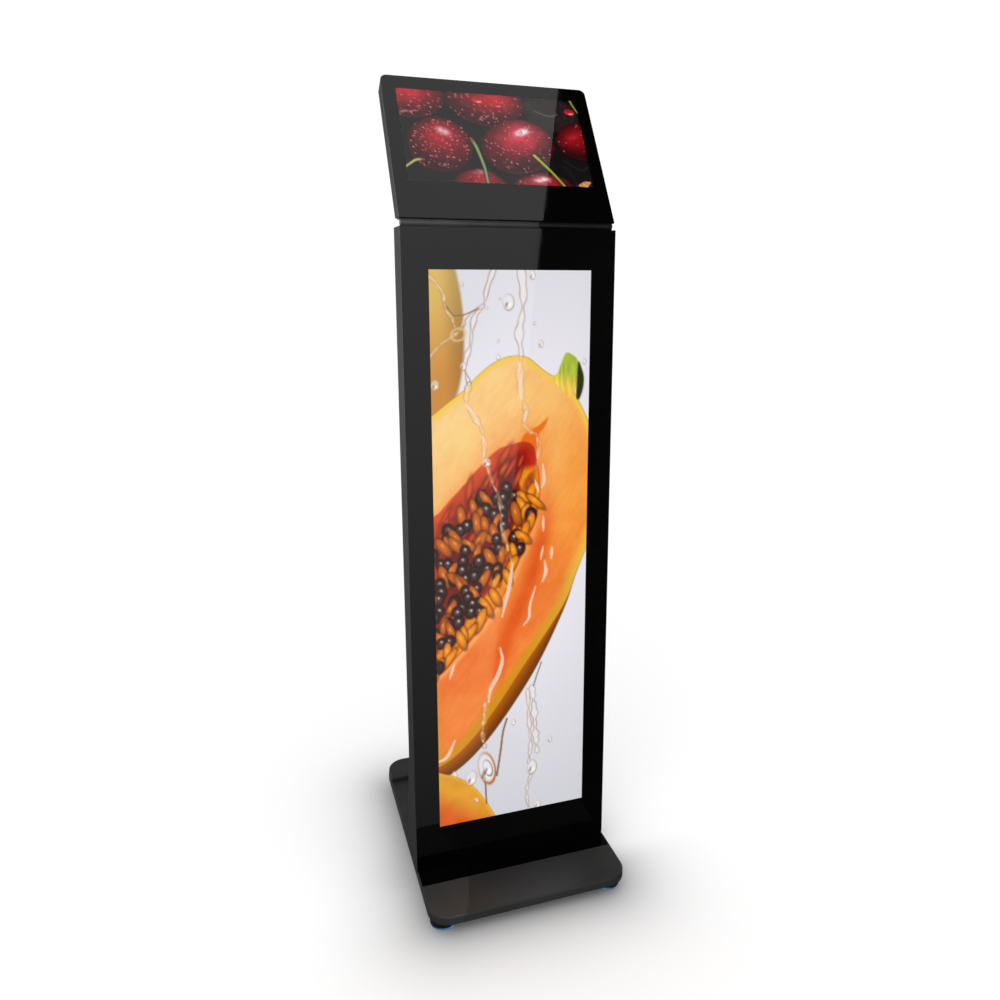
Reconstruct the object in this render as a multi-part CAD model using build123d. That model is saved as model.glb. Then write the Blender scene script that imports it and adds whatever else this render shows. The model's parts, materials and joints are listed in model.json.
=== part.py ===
from build123d import *
import math
import os

os.makedirs("parts", exist_ok=True)

# Axes: X is the width, -Y is the front, +Z is up. The origin lies on the floor, midway across
# the base in both directions. All lengths are in millimetres and all angles in degrees.

# ---------------------------------------------------------------- overall sizes
column_width = 396.0
column_depth = 60.0
column_top = 1276.0
base_depth = 520.0
base_height = 40.0
base_skirt = 16.0
base_front_reach = 134.5
base_corner_radius = 40.0
base_edge_round = 3.0
head_length = 303.0
head_depth = 32.0
head_tilt = 31.0
head_setback = 6.0
head_corner_radius = 12.0

# ---------------------------------------------------------------- sheet, glass and clearances
glass_thickness = 4.0
pan_sheet = 3.0
cabinet_sheet = 2.0
panel_sheet = 1.5
flange_width = 14.0
seat_gap = 0.3
running_gap = 0.05
hole_gap = 0.2
door_gap = 2.0

# ---------------------------------------------------------------- base and feet
ballast_thickness = 10.0
ballast_gap = 2.0
rear_cover_depth = 76.0
rear_cover_height = 10.0
rear_cover_inset = 1.0
gusset_height = 222.0
gusset_step = 32.0
gusset_shoulder = 65.0
gusset_toe = 3.0
foot_inset_x = 30.0
foot_inset_y = 41.5
foot_radius = 25.0
foot_pad_height = 12.0
stud_radius = 5.0
nut_flats = 17.0
nut_height = 8.0
column_bolt_radius = 4.0
column_bolt_places = (-150.0, -60.0, 60.0, 150.0)

# ---------------------------------------------------------------- lower display
lower_side_border = 47.3
lower_top_border = 71.8
lower_bottom_border = 90.6
display_rim = 8.0
gasket_depth = 3.0
screen_plate = 1.5
lower_module_depth = 13.0
rail_depth = 4.0
rail_height = 30.0
rail_inset = 60.0
rail_count = 4
tab_length = 15.0

# ---------------------------------------------------------------- equipment behind the display
plate_bottom = 210.0
plate_length = 620.0
plate_half_width = 145.0
plate_corner_radius = 8.0
equipment_margin = 20.0
door_clearance = 3.5
supply_width = 98.0
supply_length = 200.0
supply_edge = 1.0
supply_slot_count = 12
supply_slot_pitch = 7.0
supply_slot_width = 3.0
supply_slot_depth = 1.5
player_width = 130.0
player_length = 120.0
player_lift = 6.0
player_corner_radius = 6.0
fin_count = 9
fin_pitch = 11.0
fin_width = 2.0
fin_margin = 12.0
equipment_space = 11.0
driver_size = (140.0, 80.0)
driver_lift = 310.0
board_thickness = 1.6
board_inset = 6.0
board_post_rise = 1.0
board_chips = (
    (0.3, 0.6, 0.2, 0.3, 2.0),
    (0.62, 0.65, 0.14, 0.22, 1.6),
    (0.5, 0.18, 0.5, 0.12, 3.6),
)
standoff_length = 5.0
head_standoff_length = 4.0
lead_radius = 3.0
screw_radius = 1.8
small_screw_radius = 1.2
screw_head_ratio = 1.8
grommet_radius = 12.0
grommet_lip = 2.0

# ---------------------------------------------------------------- rear panels and door
top_panel_height = 114.0
bottom_panel_height = 98.0
door_flange = 5.0
hinge_height = 60.0
hinge_inset = 80.0
hinge_knuckle_radius = 4.5
hinge_pin_radius = 2.0
hinge_leaf = 1.5
hinge_leaf_width = 22.0
lock_inset_x = 15.0
lock_inset_z = 260.0
lock_radius = 9.5
lock_plug_radius = 6.0
lock_sleeve_step = 1.5
lock_flange = 2.0
key_slot = (1.6, 6.4)
key_depth = 3.0
strike_reach = 12.0
stiffener_width = 30.0
stiffener_side = 6.0
pin_head = 1.5
cam_length = 27.0
cam_width = 14.0
cam_thickness = 2.5
louvre_count = 9
louvre_pitch = 12.0
louvre_length = 70.0
louvre_height = 5.0
louvre_reach = 3.0
louvre_roof = 0.8
fan_size = 60.0
fan_depth = 15.0
fan_spacing = 120.0
fan_drop = 62.0
fan_wall = 1.5
fan_corner = 3.0
fan_clearance = 1.0
fan_pin = 1.5
hub_radius = 13.0
hub_plate = 3.0
strut_width = 3.0
strut_thickness = 2.0
blade_count = 7
blade_thickness = 1.2
blade_height = 9.0
blade_angle = 40.0
guard_slot_width = 4.0
guard_slot_rows = 2
speaker_radius = 25.0
speaker_inset = 45.0
speaker_depth = 20.0
speaker_rim = 3.0
speaker_surround = 4.0
speaker_cone_depth = 9.0
speaker_cone_angle = 40.0
speaker_dot = 1.6
speaker_dot_rows = (7, 6)
inlet_x = -30.0
switch_x = 32.0
socket_z = 50.0
inlet_body = (27.0, 20.0)
inlet_flange = (50.0, 24.0)
inlet_depth = 24.0
socket_size = (24.0, 16.4)
socket_depth = 17.0
blade_size = (2.0, 4.0)
blade_recess = 6.5
blade_places = ((-7.0, -2.0), (0.0, 2.0), (7.0, -2.0))
bezel_depth = 2.0
switch_body = (13.0, 27.0)
switch_flange = (18.0, 32.0)
switch_depth = 18.0
switch_wall = 1.2
rocker_reach = 10.5
rocker_lean = 10.0
rocker_crest = 4.0
rocker_dip = 2.6
rocker_heel = 3.4

# ---------------------------------------------------------------- head and its tilt hinge
barrel_radius = 6.5
barrel_setback = 15.0
barrel_half = 150.0
barrel_pin_radius = 3.0
barrel_end_inset = 3.0
barrel_clearance = 0.5
saddle_depth = 24.0
saddle_front = 3.0
saddle_thickness = 2.5
web_thickness = 3.0
web_height = 46.0
head_side_border = 24.7
head_top_border = 28.3
head_bottom_border = 75.7
head_gasket = 2.5
head_module_depth = 10.0
touch_film = 0.4
cover_margin_x = 48.0
cover_margin_z = 70.0
cover_top_margin = 34.0
cover_lap = 10.0
cover_corner_radius = 8.0
cover_screw_margin = 7.0
cover_slot_size = (90.0, 3.0)
cover_slot_count = 5
cover_slot_pitch = 8.0
cover_slot_drop = 30.0
cover_slot_x = 60.0
head_driver_size = (120.0, 70.0)
head_driver_x = -50.0
touch_board_size = (60.0, 36.0)
touch_board_x = 75.0

# ---------------------------------------------------------------- derived places
gusset_lean = math.atan2(gusset_step, gusset_height - gusset_shoulder)
gusset_radius = (gusset_shoulder - gusset_toe) / (1 - math.sin(gusset_lean))
gusset_run = gusset_step + gusset_radius * math.cos(gusset_lean)
half_width = column_width / 2
half_depth = base_depth / 2
base_underside = base_height - base_skirt
column_front = -half_depth + base_front_reach
glass_back = column_front + glass_thickness
column_back = column_front + column_depth
gusset_end = column_back + gusset_run
inner_half = half_width - cabinet_sheet
flange_edge = half_width - cabinet_sheet - flange_width
module_front = glass_back + gasket_depth
module_back = module_front + lower_module_depth
plate_front = module_back + rail_depth
plate_back = plate_front + cabinet_sheet
door_inside = column_back - panel_sheet - door_flange
equipment_depth = door_inside - door_clearance - plate_back
panel_outside = column_back - cabinet_sheet
panel_inside = panel_outside - panel_sheet
tray_top = base_height + pan_sheet
cap_bottom = column_top - cabinet_sheet
door_bottom = tray_top + bottom_panel_height + door_gap
door_top = cap_bottom - top_panel_height - door_gap
door_half = flange_edge - door_gap
screen_half = half_width - lower_side_border
screen_bottom = base_height + lower_bottom_border
screen_top = column_top - lower_top_border
supply_bottom = base_height + plate_bottom + equipment_margin
driver_bottom = supply_bottom + driver_lift
lead_y = plate_back + equipment_depth / 2
head_gap = 2 * (barrel_radius + barrel_clearance)
axis_y = column_front + barrel_setback
axis_z = column_top + head_gap / 2
head_y = column_front + head_setback
head_z = column_top + head_gap
grommet_y = (axis_y + panel_inside) / 2
hinge_x = -(flange_edge + door_half) / 2
hinge_y = column_back + hinge_knuckle_radius + seat_gap
lock_x = door_half - lock_inset_x
cam_back = door_inside - hole_gap
supply_x = -(equipment_space + supply_width / 2)
player_x = equipment_space + player_width / 2
slope = math.tan(math.radians(head_tilt))
head_frame = Pos(0, head_y, head_z) * Rot(X=-head_tilt)
head_screen_half = half_width - head_side_border
head_screen_span = (head_bottom_border, head_length - head_top_border)
head_module_front = glass_thickness + head_gasket
head_module_back = head_module_front + head_module_depth
foot_places = {
    "front_left": (-(half_width - foot_inset_x), -(half_depth - foot_inset_y)),
    "front_right": (half_width - foot_inset_x, -(half_depth - foot_inset_y)),
    "rear_left": (-(half_width - foot_inset_x), half_depth - foot_inset_y),
    "rear_right": (half_width - foot_inset_x, half_depth - foot_inset_y),
}
hinge_places = (door_bottom + hinge_inset, (door_bottom + door_top) / 2, door_top - hinge_inset)
lock_places = {"lower": door_bottom + lock_inset_z, "upper": door_top - lock_inset_z}


# ---------------------------------------------------------------- building blocks
def slab(x_span, y_span, z_span):
    """Block between three pairs of coordinates."""
    spans = (x_span, y_span, z_span)
    middle = [(low + high) / 2 for low, high in spans]
    return Pos(*middle) * Box(*[abs(high - low) for low, high in spans])


def both(half):
    """Pair of coordinates that is symmetric about the middle."""
    return (-half, half)


def rod(radius, start, direction, length):
    """Round bar that begins at start and runs along direction."""
    ends = (Align.CENTER, Align.CENTER, Align.MIN)
    return Plane(origin=start, z_dir=direction) * Cylinder(radius, length, align=ends)


def hexagon(flats, start, direction, length):
    """Hexagonal bar, measured across its flats."""
    sketch = RegularPolygon(flats / 2, 6, major_radius=False)
    return extrude(Plane(origin=start, z_dir=direction) * sketch, length)


def screw(place, direction, length, radius=screw_radius):
    """Socket screw: its head stands on place, and its shank runs back against direction."""
    inward = tuple(-part for part in direction)
    head = rod(screw_head_ratio * radius, place, direction, radius)
    head -= hexagon(radius, place, direction, 2 * radius)
    return head + rod(radius, place, inward, length)


def drilled(shape, places, direction, length, radius=screw_radius):
    """The shape with a clearance hole for a screw at each place."""
    inward = tuple(-part for part in direction)
    for place in places:
        shape -= rod(radius + hole_gap, place, inward, length)
    return shape


def flat_frame(x_half, z_span, border, y_span):
    """Rectangular frame with its hole, standing upright."""
    hole = (z_span[0] + border, z_span[1] - border)
    return slab(both(x_half), y_span, z_span) - slab(both(x_half - border), y_span, hole)


def lead(points):
    """Round lead along straight runs joined by tangent arcs."""
    runs = [math.dist(a, b) for a, b in zip(points, points[1:])]
    radii = []
    for index in range(1, len(points) - 1):
        before = Vector(*points[index]) - Vector(*points[index - 1])
        after = Vector(*points[index + 1]) - Vector(*points[index])
        half_turn = math.radians(before.get_angle(after)) / 2
        radii.append(0.45 * min(runs[index - 1], runs[index]) / math.tan(half_turn))
    path = FilletPolyline(*points, radius=radii)
    return sweep(Plane(origin=path @ 0, z_dir=path % 0) * Circle(lead_radius), path)


def save(name, *shapes):
    """Write one node with every solid of the given shapes."""
    solids = [solid for shape in shapes for solid in shape.solids()]
    export_step(solids[0] if len(solids) == 1 else Compound(solids), f"parts/{name}.step")


# ---------------------------------------------------------------- base
def base_slab(inset, low, high):
    """Slab with the outline of the base, drawn in by inset."""
    outline = RectangleRounded(
        column_width - 2 * inset, base_depth - 2 * inset, base_corner_radius - inset)
    return Pos(0, 0, low) * extrude(outline, high - low)


def bolt_holes(low, high):
    """Clearance holes for the bolts that hold the column to the base."""
    middle = (glass_back + column_back) / 2
    return [
        rod(column_bolt_radius + hole_gap, (x, middle, low), (0, 0, 1), high - low)
        for x in column_bolt_places
    ]


def base_pan():
    outer = base_slab(0, base_underside, base_height)
    outer = fillet(outer.edges().group_by(Axis.Z)[-1], base_edge_round)
    pan = outer - base_slab(pan_sheet, base_underside, base_height - pan_sheet)
    recess = (glass_back, gusset_end)
    for side in (-1, 1):
        pan -= slab((side * inner_half, side * half_width), recess, (base_underside, base_height))
    for hole in bolt_holes(base_underside, base_height):
        pan -= hole
    nut_bottom = base_height - pan_sheet - nut_height
    for x, y in foot_places.values():
        pan += hexagon(nut_flats, (x, y, nut_bottom), (0, 0, 1), nut_height)
        pan -= rod(stud_radius + running_gap, (x, y, nut_bottom), (0, 0, 1), nut_height)
    return pan


def base_ballast_plate():
    top = base_height - pan_sheet
    plate = base_slab(pan_sheet + ballast_gap, top - ballast_thickness, top)
    for x, y in foot_places.values():
        plate -= rod(nut_flats * 0.75, (x, y, base_underside), (0, 0, 1), base_skirt)
    for hole in bolt_holes(base_underside, base_height):
        plate -= hole
    return plate


def rear_block(inset, high):
    """Raised block over the rear of the base, drawn in by inset on every side."""
    front = half_depth - rear_cover_depth + inset
    strip = slab(both(column_width), (front, base_depth), (base_height, high))
    return base_slab(inset + rear_cover_inset, base_height, high) & strip


def rear_weight_cover():
    outer = rear_block(0, base_height + rear_cover_height)
    outer = fillet(outer.edges().group_by(Axis.Z)[-1], base_edge_round)
    return outer - rear_block(cabinet_sheet, base_height + rear_cover_height - cabinet_sheet)


def rear_weight_bar():
    inset = cabinet_sheet + seat_gap
    return rear_block(inset, base_height + rear_cover_height - inset)


def foot(x, y):
    """Levelling foot: a round pad under a threaded stud with a spanner hexagon."""
    rim = foot_radius - base_edge_round
    profile = Polyline(
        (0, 0), (rim, 0), (foot_radius, base_edge_round),
        (foot_radius, foot_pad_height / 2), (nut_flats * 0.6, foot_pad_height),
        (0, foot_pad_height), (0, 0))
    pad = Pos(x, y, 0) * revolve(Plane.XZ * make_face(profile), Axis.Z)
    stud_top = base_height - pan_sheet - 2 * seat_gap
    seat = (x, y, foot_pad_height)
    stud = hexagon(nut_flats, seat, (0, 0, 1), stud_radius)
    stud += rod(stud_radius, seat, (0, 0, 1), stud_top - foot_pad_height)
    return pad, stud


# ---------------------------------------------------------------- screw places
def rear_panel_screws(side):
    """Screws through the rear flange of one side panel, level with the fixed rear panels."""
    x = side * (flange_edge + flange_width / 2)
    heights = (door_bottom - door_gap - tab_length, door_top + door_gap + tab_length,
               cap_bottom - tab_length)
    return [(x, column_back, z) for z in heights]


def side_screws(side):
    """Screws from inside the column into one side panel."""
    y = (plate_front + panel_inside) / 2
    x = side * (inner_half - cabinet_sheet)
    return [(x, y, z) for z in (tray_top + tab_length / 2, cap_bottom - tab_length / 2)]


def leaf_screws(x):
    """Screws of the door hinges, in one line at x."""
    y = column_back + hinge_leaf
    return [(x, y, z + rise) for z in hinge_places for rise in both(hinge_height / 3)]


def fixed_leaf_screws():
    return leaf_screws(-(flange_edge + flange_width / 2))


def moving_leaf_screws():
    return leaf_screws(hinge_x + hinge_leaf_width * 0.7)


def cover_screws():
    """Screws of the head's back cover, in the upright frame of the head."""
    y = head_depth + panel_sheet
    reach = half_width - cover_margin_x - cover_screw_margin
    heights = (cover_margin_z + cover_screw_margin,
               head_length - cover_top_margin - cover_screw_margin)
    return [(x, y, z) for x in (-reach, 0.0, reach) for z in heights]


# ---------------------------------------------------------------- column cabinet
def side_panel(side):
    """Side of the column with its gusset, lapped over the edge of the base."""
    start = (column_back, base_height + gusset_height)
    bend = (column_back + gusset_step, base_height + gusset_shoulder)
    toe = (gusset_end, base_height + gusset_toe)
    taper = Line(start, bend)
    curve = TangentArc(bend, toe, tangent=taper % 1)
    upper = Polyline((glass_back, base_underside), (glass_back, column_top),
                     (column_back, column_top), start)
    lower = Polyline(toe, (gusset_end, base_underside), (glass_back, base_underside))
    outline = Wire([*upper.edges(), *taper.edges(), *curve.edges(), *lower.edges()])
    panel = Pos(inner_half, 0, 0) * extrude(Plane.YZ * make_face(outline), cabinet_sheet)
    flange = (flange_edge, inner_half)
    height = (base_height, cap_bottom)
    panel += slab(flange, (glass_back, glass_back + cabinet_sheet), height)
    panel += slab(flange, (column_back - cabinet_sheet, column_back), height)
    panel = drilled(panel, rear_panel_screws(1), (0, 1, 0), cabinet_sheet)
    if side > 0:
        return panel
    panel = mirror(panel, about=Plane.YZ)
    return drilled(panel, fixed_leaf_screws(), (0, 1, 0), hinge_leaf + cabinet_sheet,
                   small_screw_radius)


def column_floor_tray():
    y_span = (glass_back + cabinet_sheet, panel_inside)
    tray = slab(both(inner_half), y_span, (base_height, tray_top))
    for side in (-1, 1):
        upturn = (side * (inner_half - cabinet_sheet), side * inner_half)
        tray += slab(upturn, y_span, (base_height, tray_top + tab_length))
    for hole in bolt_holes(base_height, tray_top):
        tray -= hole
    for side in (-1, 1):
        tray = drilled(tray, side_screws(side), (-side, 0, 0), cabinet_sheet)
    return tray


def column_top_cap():
    cap = slab(both(inner_half), (glass_back, column_back), (cap_bottom, column_top))
    for side in (-1, 1):
        turn = (side * (inner_half - cabinet_sheet), side * inner_half)
        sides = (glass_back + cabinet_sheet, panel_inside)
        cap += slab(turn, sides, (cap_bottom - tab_length, cap_bottom))
        cap = drilled(cap, side_screws(side), (-side, 0, 0), cabinet_sheet)
    slot = web_thickness / 2 + seat_gap
    cap -= slab(both(barrel_half), (axis_y - slot, axis_y + slot), (cap_bottom, column_top))
    return cap - rod(grommet_radius, (0, grommet_y, cap_bottom), (0, 0, 1), cabinet_sheet)


def cap_grommet():
    """Rubber ring around the cable hole, with a lip above and below the cap."""
    low = (0, grommet_y, cap_bottom - grommet_lip)
    outer = grommet_radius + grommet_lip
    ring = rod(grommet_radius, (0, grommet_y, cap_bottom), (0, 0, 1), cabinet_sheet)
    ring += rod(outer, (0, grommet_y, column_top), (0, 0, 1), grommet_lip / 2)
    ring += rod(outer, low, (0, 0, 1), grommet_lip)
    bore = cabinet_sheet + 2 * grommet_lip
    return ring - rod(grommet_radius - grommet_lip, low, (0, 0, 1), bore)


def column_front_glass():
    pane = slab(both(half_width), (column_front, glass_back), (base_height, column_top))
    return chamfer(pane.faces().sort_by(Axis.Y)[0].edges(), seat_gap)


def lower_screen():
    reach = display_rim / 2
    z_span = (screen_bottom - reach, screen_top + reach)
    return slab(both(screen_half + reach), (module_front - screen_plate, module_front), z_span)


def lower_display_gasket():
    z_span = (screen_bottom - display_rim, screen_top + display_rim)
    border = display_rim / 2 - seat_gap
    return flat_frame(screen_half + display_rim, z_span, border, (glass_back, module_front))


def lower_display_module():
    z_span = (screen_bottom - display_rim, screen_top + display_rim)
    half = screen_half + display_rim
    body = slab(both(half), (module_front, module_back), z_span)
    body = chamfer(body.faces().sort_by(Axis.Y)[-1].edges(), lower_module_depth / 4)
    rib_depth = rail_depth / 2
    for z in rail_places():
        for side in (-1, 1):
            boss = (side * half * 0.6, module_back - rib_depth, z)
            body -= rod(stud_radius, boss, (0, 1, 0), rib_depth)
    return body


def rail_places():
    low = screen_bottom + rail_inset
    high = screen_top - rail_inset
    return [low + (high - low) * step / (rail_count - 1) for step in range(rail_count)]


def display_rails():
    """Cross rails that carry the display between the two side panels."""
    rails = []
    for z in rail_places():
        z_span = (z - rail_height / 2, z + rail_height / 2)
        rail = slab(both(inner_half), (module_back, plate_front), z_span)
        for side in (-1, 1):
            tab = (side * (inner_half - cabinet_sheet), side * inner_half)
            rail += slab(tab, (module_back, plate_front + tab_length), z_span)
        rails.append(rail)
    return rails


def neck_rail():
    """Cross rail under the top cap that the tilt hinge is bolted to."""
    front = axis_y + web_thickness / 2
    z_span = (cap_bottom - tab_length - rail_height, cap_bottom - tab_length - seat_gap)
    rail = slab(both(inner_half), (front, front + web_thickness), z_span)
    for side in (-1, 1):
        tab = (side * (inner_half - cabinet_sheet), side * inner_half)
        rail += slab(tab, (front, front + tab_length), z_span)
    return rail


# ---------------------------------------------------------------- rear panels
def fan_places():
    z = column_top - fan_drop
    return {"left": (-fan_spacing / 2, z), "right": (fan_spacing / 2, z)}


def rear_top_panel():
    z_span = (door_top + door_gap, cap_bottom)
    panel = slab(both(inner_half), (panel_inside, panel_outside), z_span)
    outside = Plane.XZ.offset(-panel_outside)
    for x, z in fan_places().values():
        for step in range(-guard_slot_rows, guard_slot_rows + 1):
            offset = step * 2 * guard_slot_width
            reach = math.sqrt((fan_size / 2 - guard_slot_width) ** 2 - offset**2)
            slot = SlotOverall(2 * reach, guard_slot_width)
            panel -= extrude(outside * Pos(x, z + offset) * slot, panel_sheet)
    return drilled_for_side_panels(panel)


def drilled_for_side_panels(panel):
    for side in (-1, 1):
        depth = cabinet_sheet + panel_sheet
        panel = drilled(panel, rear_panel_screws(side), (0, 1, 0), depth)
    return panel


def speaker_places():
    return [(side * (inner_half - speaker_inset), tray_top + socket_z) for side in (-1, 1)]


def rear_bottom_panel():
    z_span = (tray_top, door_bottom - door_gap)
    panel = slab(both(inner_half), (panel_inside, panel_outside), z_span)
    places = HexLocations(2 * speaker_dot, *speaker_dot_rows)
    dots = Sketch() + [location * Circle(speaker_dot) for location in places]
    for x, z in speaker_places():
        panel -= extrude(Plane.XZ.offset(-panel_outside) * Pos(x, z) * dots, panel_sheet)
    z = tray_top + socket_z
    for x, size in ((inlet_x, inlet_body), (switch_x, switch_body)):
        opening = [extent + 2 * hole_gap for extent in size]
        panel -= face_block(x, z, opening, (panel_inside, panel_outside))
    return drilled_for_side_panels(panel)


def face_block(x, z, size, y_span):
    """Block centred on a point of the rear face."""
    return slab((x - size[0] / 2, x + size[0] / 2), y_span, (z - size[1] / 2, z + size[1] / 2))


def power_inlet():
    """Mains inlet: a flanged body with three recessed contact blades."""
    z = tray_top + socket_z
    outside = panel_outside + bezel_depth
    body = face_block(inlet_x, z, inlet_flange, (panel_outside, outside))
    body = chamfer(body.edges().filter_by(Axis.Y), 3 * bezel_depth)
    body += face_block(inlet_x, z, inlet_body, (outside - inlet_depth, panel_outside))
    body -= face_block(inlet_x, z, socket_size, (outside - socket_depth, outside))
    blade = (outside - socket_depth, outside - blade_recess)
    for dx, dz in blade_places:
        body += face_block(inlet_x + dx, z + dz, blade_size, blade)
    return body


def switch_pivot():
    return (switch_x, panel_outside, tray_top + socket_z)


def switch_housing():
    x, _, z = switch_pivot()
    outside = panel_outside + bezel_depth
    body = face_block(x, z, switch_flange, (panel_outside, outside))
    body += face_block(x, z, switch_body, (outside - switch_depth, panel_outside))
    hollow = (switch_body[0] - 2 * switch_wall, switch_body[1] - 2 * switch_wall)
    body -= face_block(x, z, hollow, (outside - switch_depth + 2 * switch_wall, outside))
    pin_length = switch_body[0] - switch_wall
    pin_start = (x - pin_length / 2, panel_outside, z)
    return body + rod(switch_wall, pin_start, (1, 0, 0), pin_length)


def mains_rocker():
    x, y, z = switch_pivot()
    half = switch_body[0] / 2 - switch_wall - seat_gap
    tail = -rocker_crest / 4
    profile = Polyline(
        (rocker_crest, -rocker_reach), (rocker_dip, 0), (rocker_crest, rocker_reach),
        (tail, rocker_reach + tail), (-rocker_heel, 0), (tail, -rocker_reach - tail),
        (rocker_crest, -rocker_reach))
    body = Pos(-half, 0, 0) * extrude(Plane.YZ * make_face(profile), 2 * half)
    body -= rod(switch_wall + running_gap, (-half, 0, 0), (1, 0, 0), 2 * half)
    return Pos(x, y, z) * (Rot(X=-rocker_lean) * body)


def speakers():
    units = []
    for x, z in speaker_places():
        seat = (x, panel_inside - speaker_rim, z)
        rim = rod(speaker_radius, seat, (0, 1, 0), speaker_rim)
        cone = Plane(origin=seat, z_dir=(0, -1, 0)) * extrude(
            Circle(speaker_radius - speaker_surround), speaker_cone_depth, taper=speaker_cone_angle)
        magnet = rod(speaker_radius / 2, (x, panel_inside - speaker_depth, z), (0, 1, 0),
                     speaker_cone_depth)
        units.append(rim + cone + magnet)
    return units


def fan_frame(x, z):
    inner = panel_inside - fan_depth
    body = face_block(x, z, (fan_size, fan_size), (inner, panel_inside))
    body = chamfer(body.edges().filter_by(Axis.Y), fan_corner)
    body -= rod(fan_size / 2 - fan_wall, (x, inner, z), (0, 1, 0), fan_depth)
    body += rod(hub_radius, (x, panel_inside - hub_plate, z), (0, 1, 0), hub_plate)
    strut_x = (hub_radius - strut_thickness, fan_size / 2)
    strut = slab(strut_x, (-strut_thickness, 0), both(strut_width / 2))
    for turn in (0, 120, 240):
        body += Pos(x, panel_inside, z) * (Rot(Y=turn) * strut)
    pin_start = (x, inner + fan_clearance, z)
    return body + rod(fan_pin, pin_start, (0, 1, 0), fan_depth - hub_plate - fan_clearance)


def fan_rotor(x, z):
    depth = fan_depth - hub_plate - 2 * fan_clearance
    hub = rod(hub_radius, (0, 0, 0), (0, 1, 0), depth)
    tip = fan_size / 2 - fan_wall - 1.5 * fan_clearance
    blade_x = (hub_radius - blade_thickness, tip)
    blade = slab(blade_x, both(blade_thickness / 2), both(blade_height / 2))
    blade = Pos(0, depth / 2, 0) * (Rot(X=blade_angle) * blade)
    for index in range(blade_count):
        hub += Rot(Y=360 * index / blade_count) * blade
    hub -= rod(fan_pin + running_gap, (0, 0, 0), (0, 1, 0), depth)
    return Pos(x, panel_inside - fan_depth + fan_clearance, z) * hub


# ---------------------------------------------------------------- equipment
def equipment_plate():
    low = base_height + plate_bottom
    plate = slab(both(plate_half_width), (plate_front, plate_back), (low, low + plate_length))
    plate = fillet(plate.edges().filter_by(Axis.Y), plate_corner_radius)
    for z in (low + plate_length / 2, low + plate_length - 3 * equipment_margin):
        for x in both(plate_half_width / 2):
            slot = SlotOverall(2 * rail_height, 2 * stud_radius)
            plate -= extrude(Plane.XZ.offset(-plate_back) * Pos(x, z) * slot, cabinet_sheet)
    return plate


def power_supply():
    z_span = (supply_bottom, supply_bottom + supply_length)
    x_span = (supply_x - supply_width / 2, supply_x + supply_width / 2)
    body = slab(x_span, (plate_back, plate_back + equipment_depth), z_span)
    body = chamfer(body.faces().sort_by(Axis.Y)[-1].edges(), supply_edge)
    slot = SlotOverall(supply_width * 0.7, supply_slot_width)
    outer = Plane.XZ.offset(-(plate_back + equipment_depth))
    rise = supply_slot_pitch * (supply_slot_count - 1) / 2
    for step in range(supply_slot_count):
        z = supply_bottom + supply_length / 2 - rise + supply_slot_pitch * step
        body -= extrude(outer * Pos(supply_x, z) * slot, supply_slot_depth)
    return body


def media_player():
    z_span = (supply_bottom, supply_bottom + player_length)
    x_span = (player_x - player_width / 2, player_x + player_width / 2)
    body = slab(x_span, (plate_back, plate_back + equipment_depth - player_lift), z_span)
    body = fillet(body.edges().filter_by(Axis.Y), player_corner_radius)
    fin_top = plate_back + equipment_depth - player_lift / 2
    fin_span = (supply_bottom + fin_margin, supply_bottom + player_length - fin_margin)
    first = player_x - fin_pitch * (fin_count - 1) / 2
    for step in range(fin_count):
        x = first + fin_pitch * step
        fin = (x - fin_width / 2, x + fin_width / 2)
        body += slab(fin, (fin_top - player_lift, fin_top), fin_span)
    return body


def board(x_span, z_span, back, lift):
    """Circuit board on four standoffs, with its chips and plug rows."""
    face = back + lift
    body = slab(x_span, (face, face + board_thickness), z_span)
    post = lift + board_thickness + board_post_rise
    for x in (x_span[0] + board_inset, x_span[1] - board_inset):
        for z in (z_span[0] + board_inset, z_span[1] - board_inset):
            body += rod(board_inset / 2, (x, back, z), (0, 1, 0), post)
    width, height = x_span[1] - x_span[0], z_span[1] - z_span[0]
    top = face + board_thickness
    for across, up, wide, tall, thick in board_chips:
        place = (x_span[0] + across * width, z_span[0] + up * height)
        body += face_block(*place, (wide * width, tall * height), (top, top + thick))
    return body


def driver_board():
    z_span = (driver_bottom, driver_bottom + driver_size[1])
    return board(both(driver_size[0] / 2), z_span, plate_back, standoff_length)


def equipment_lead(x_from, z_from, x_to, z_to, y):
    """Lead that rises from one port to another with a gentle sideways step."""
    rise = (z_to - z_from) / 3
    return lead([(x_from, y, z_from), (x_from, y, z_from + rise),
                 (x_to, y, z_to - rise), (x_to, y, z_to)])


def mains_lead():
    start = tray_top + socket_z + inlet_body[1] / 2
    return equipment_lead(inlet_x, start, supply_x, supply_bottom, lead_y)


def display_leads():
    y = plate_back + standoff_length + board_thickness / 2 + lead_radius
    reach = driver_size[0] / 4
    return [
        equipment_lead(supply_x, supply_bottom + supply_length, -reach, driver_bottom, y),
        equipment_lead(player_x, supply_bottom + player_length, reach, driver_bottom, y),
    ]


# ---------------------------------------------------------------- service door
def louvre(x, z):
    """Pressed hood over one vent slot."""
    lip = louvre_reach - louvre_roof / 2
    mouth_half = louvre_length / 2 - louvre_roof
    place = Pos(x, column_back, z)
    outer = Polyline((0, 0), (lip, 0), (louvre_reach, louvre_roof), (0, louvre_height), (0, 0))
    inner = Polyline((-panel_sheet, 0), (louvre_reach - louvre_roof, 0),
                     (-panel_sheet, louvre_height - panel_sheet), (-panel_sheet, 0))
    hood = extrude(Plane.YZ.offset(-louvre_length / 2) * make_face(outer), louvre_length)
    mouth = extrude(Plane.YZ.offset(-mouth_half) * make_face(inner), 2 * mouth_half)
    return place * hood, place * mouth


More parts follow.
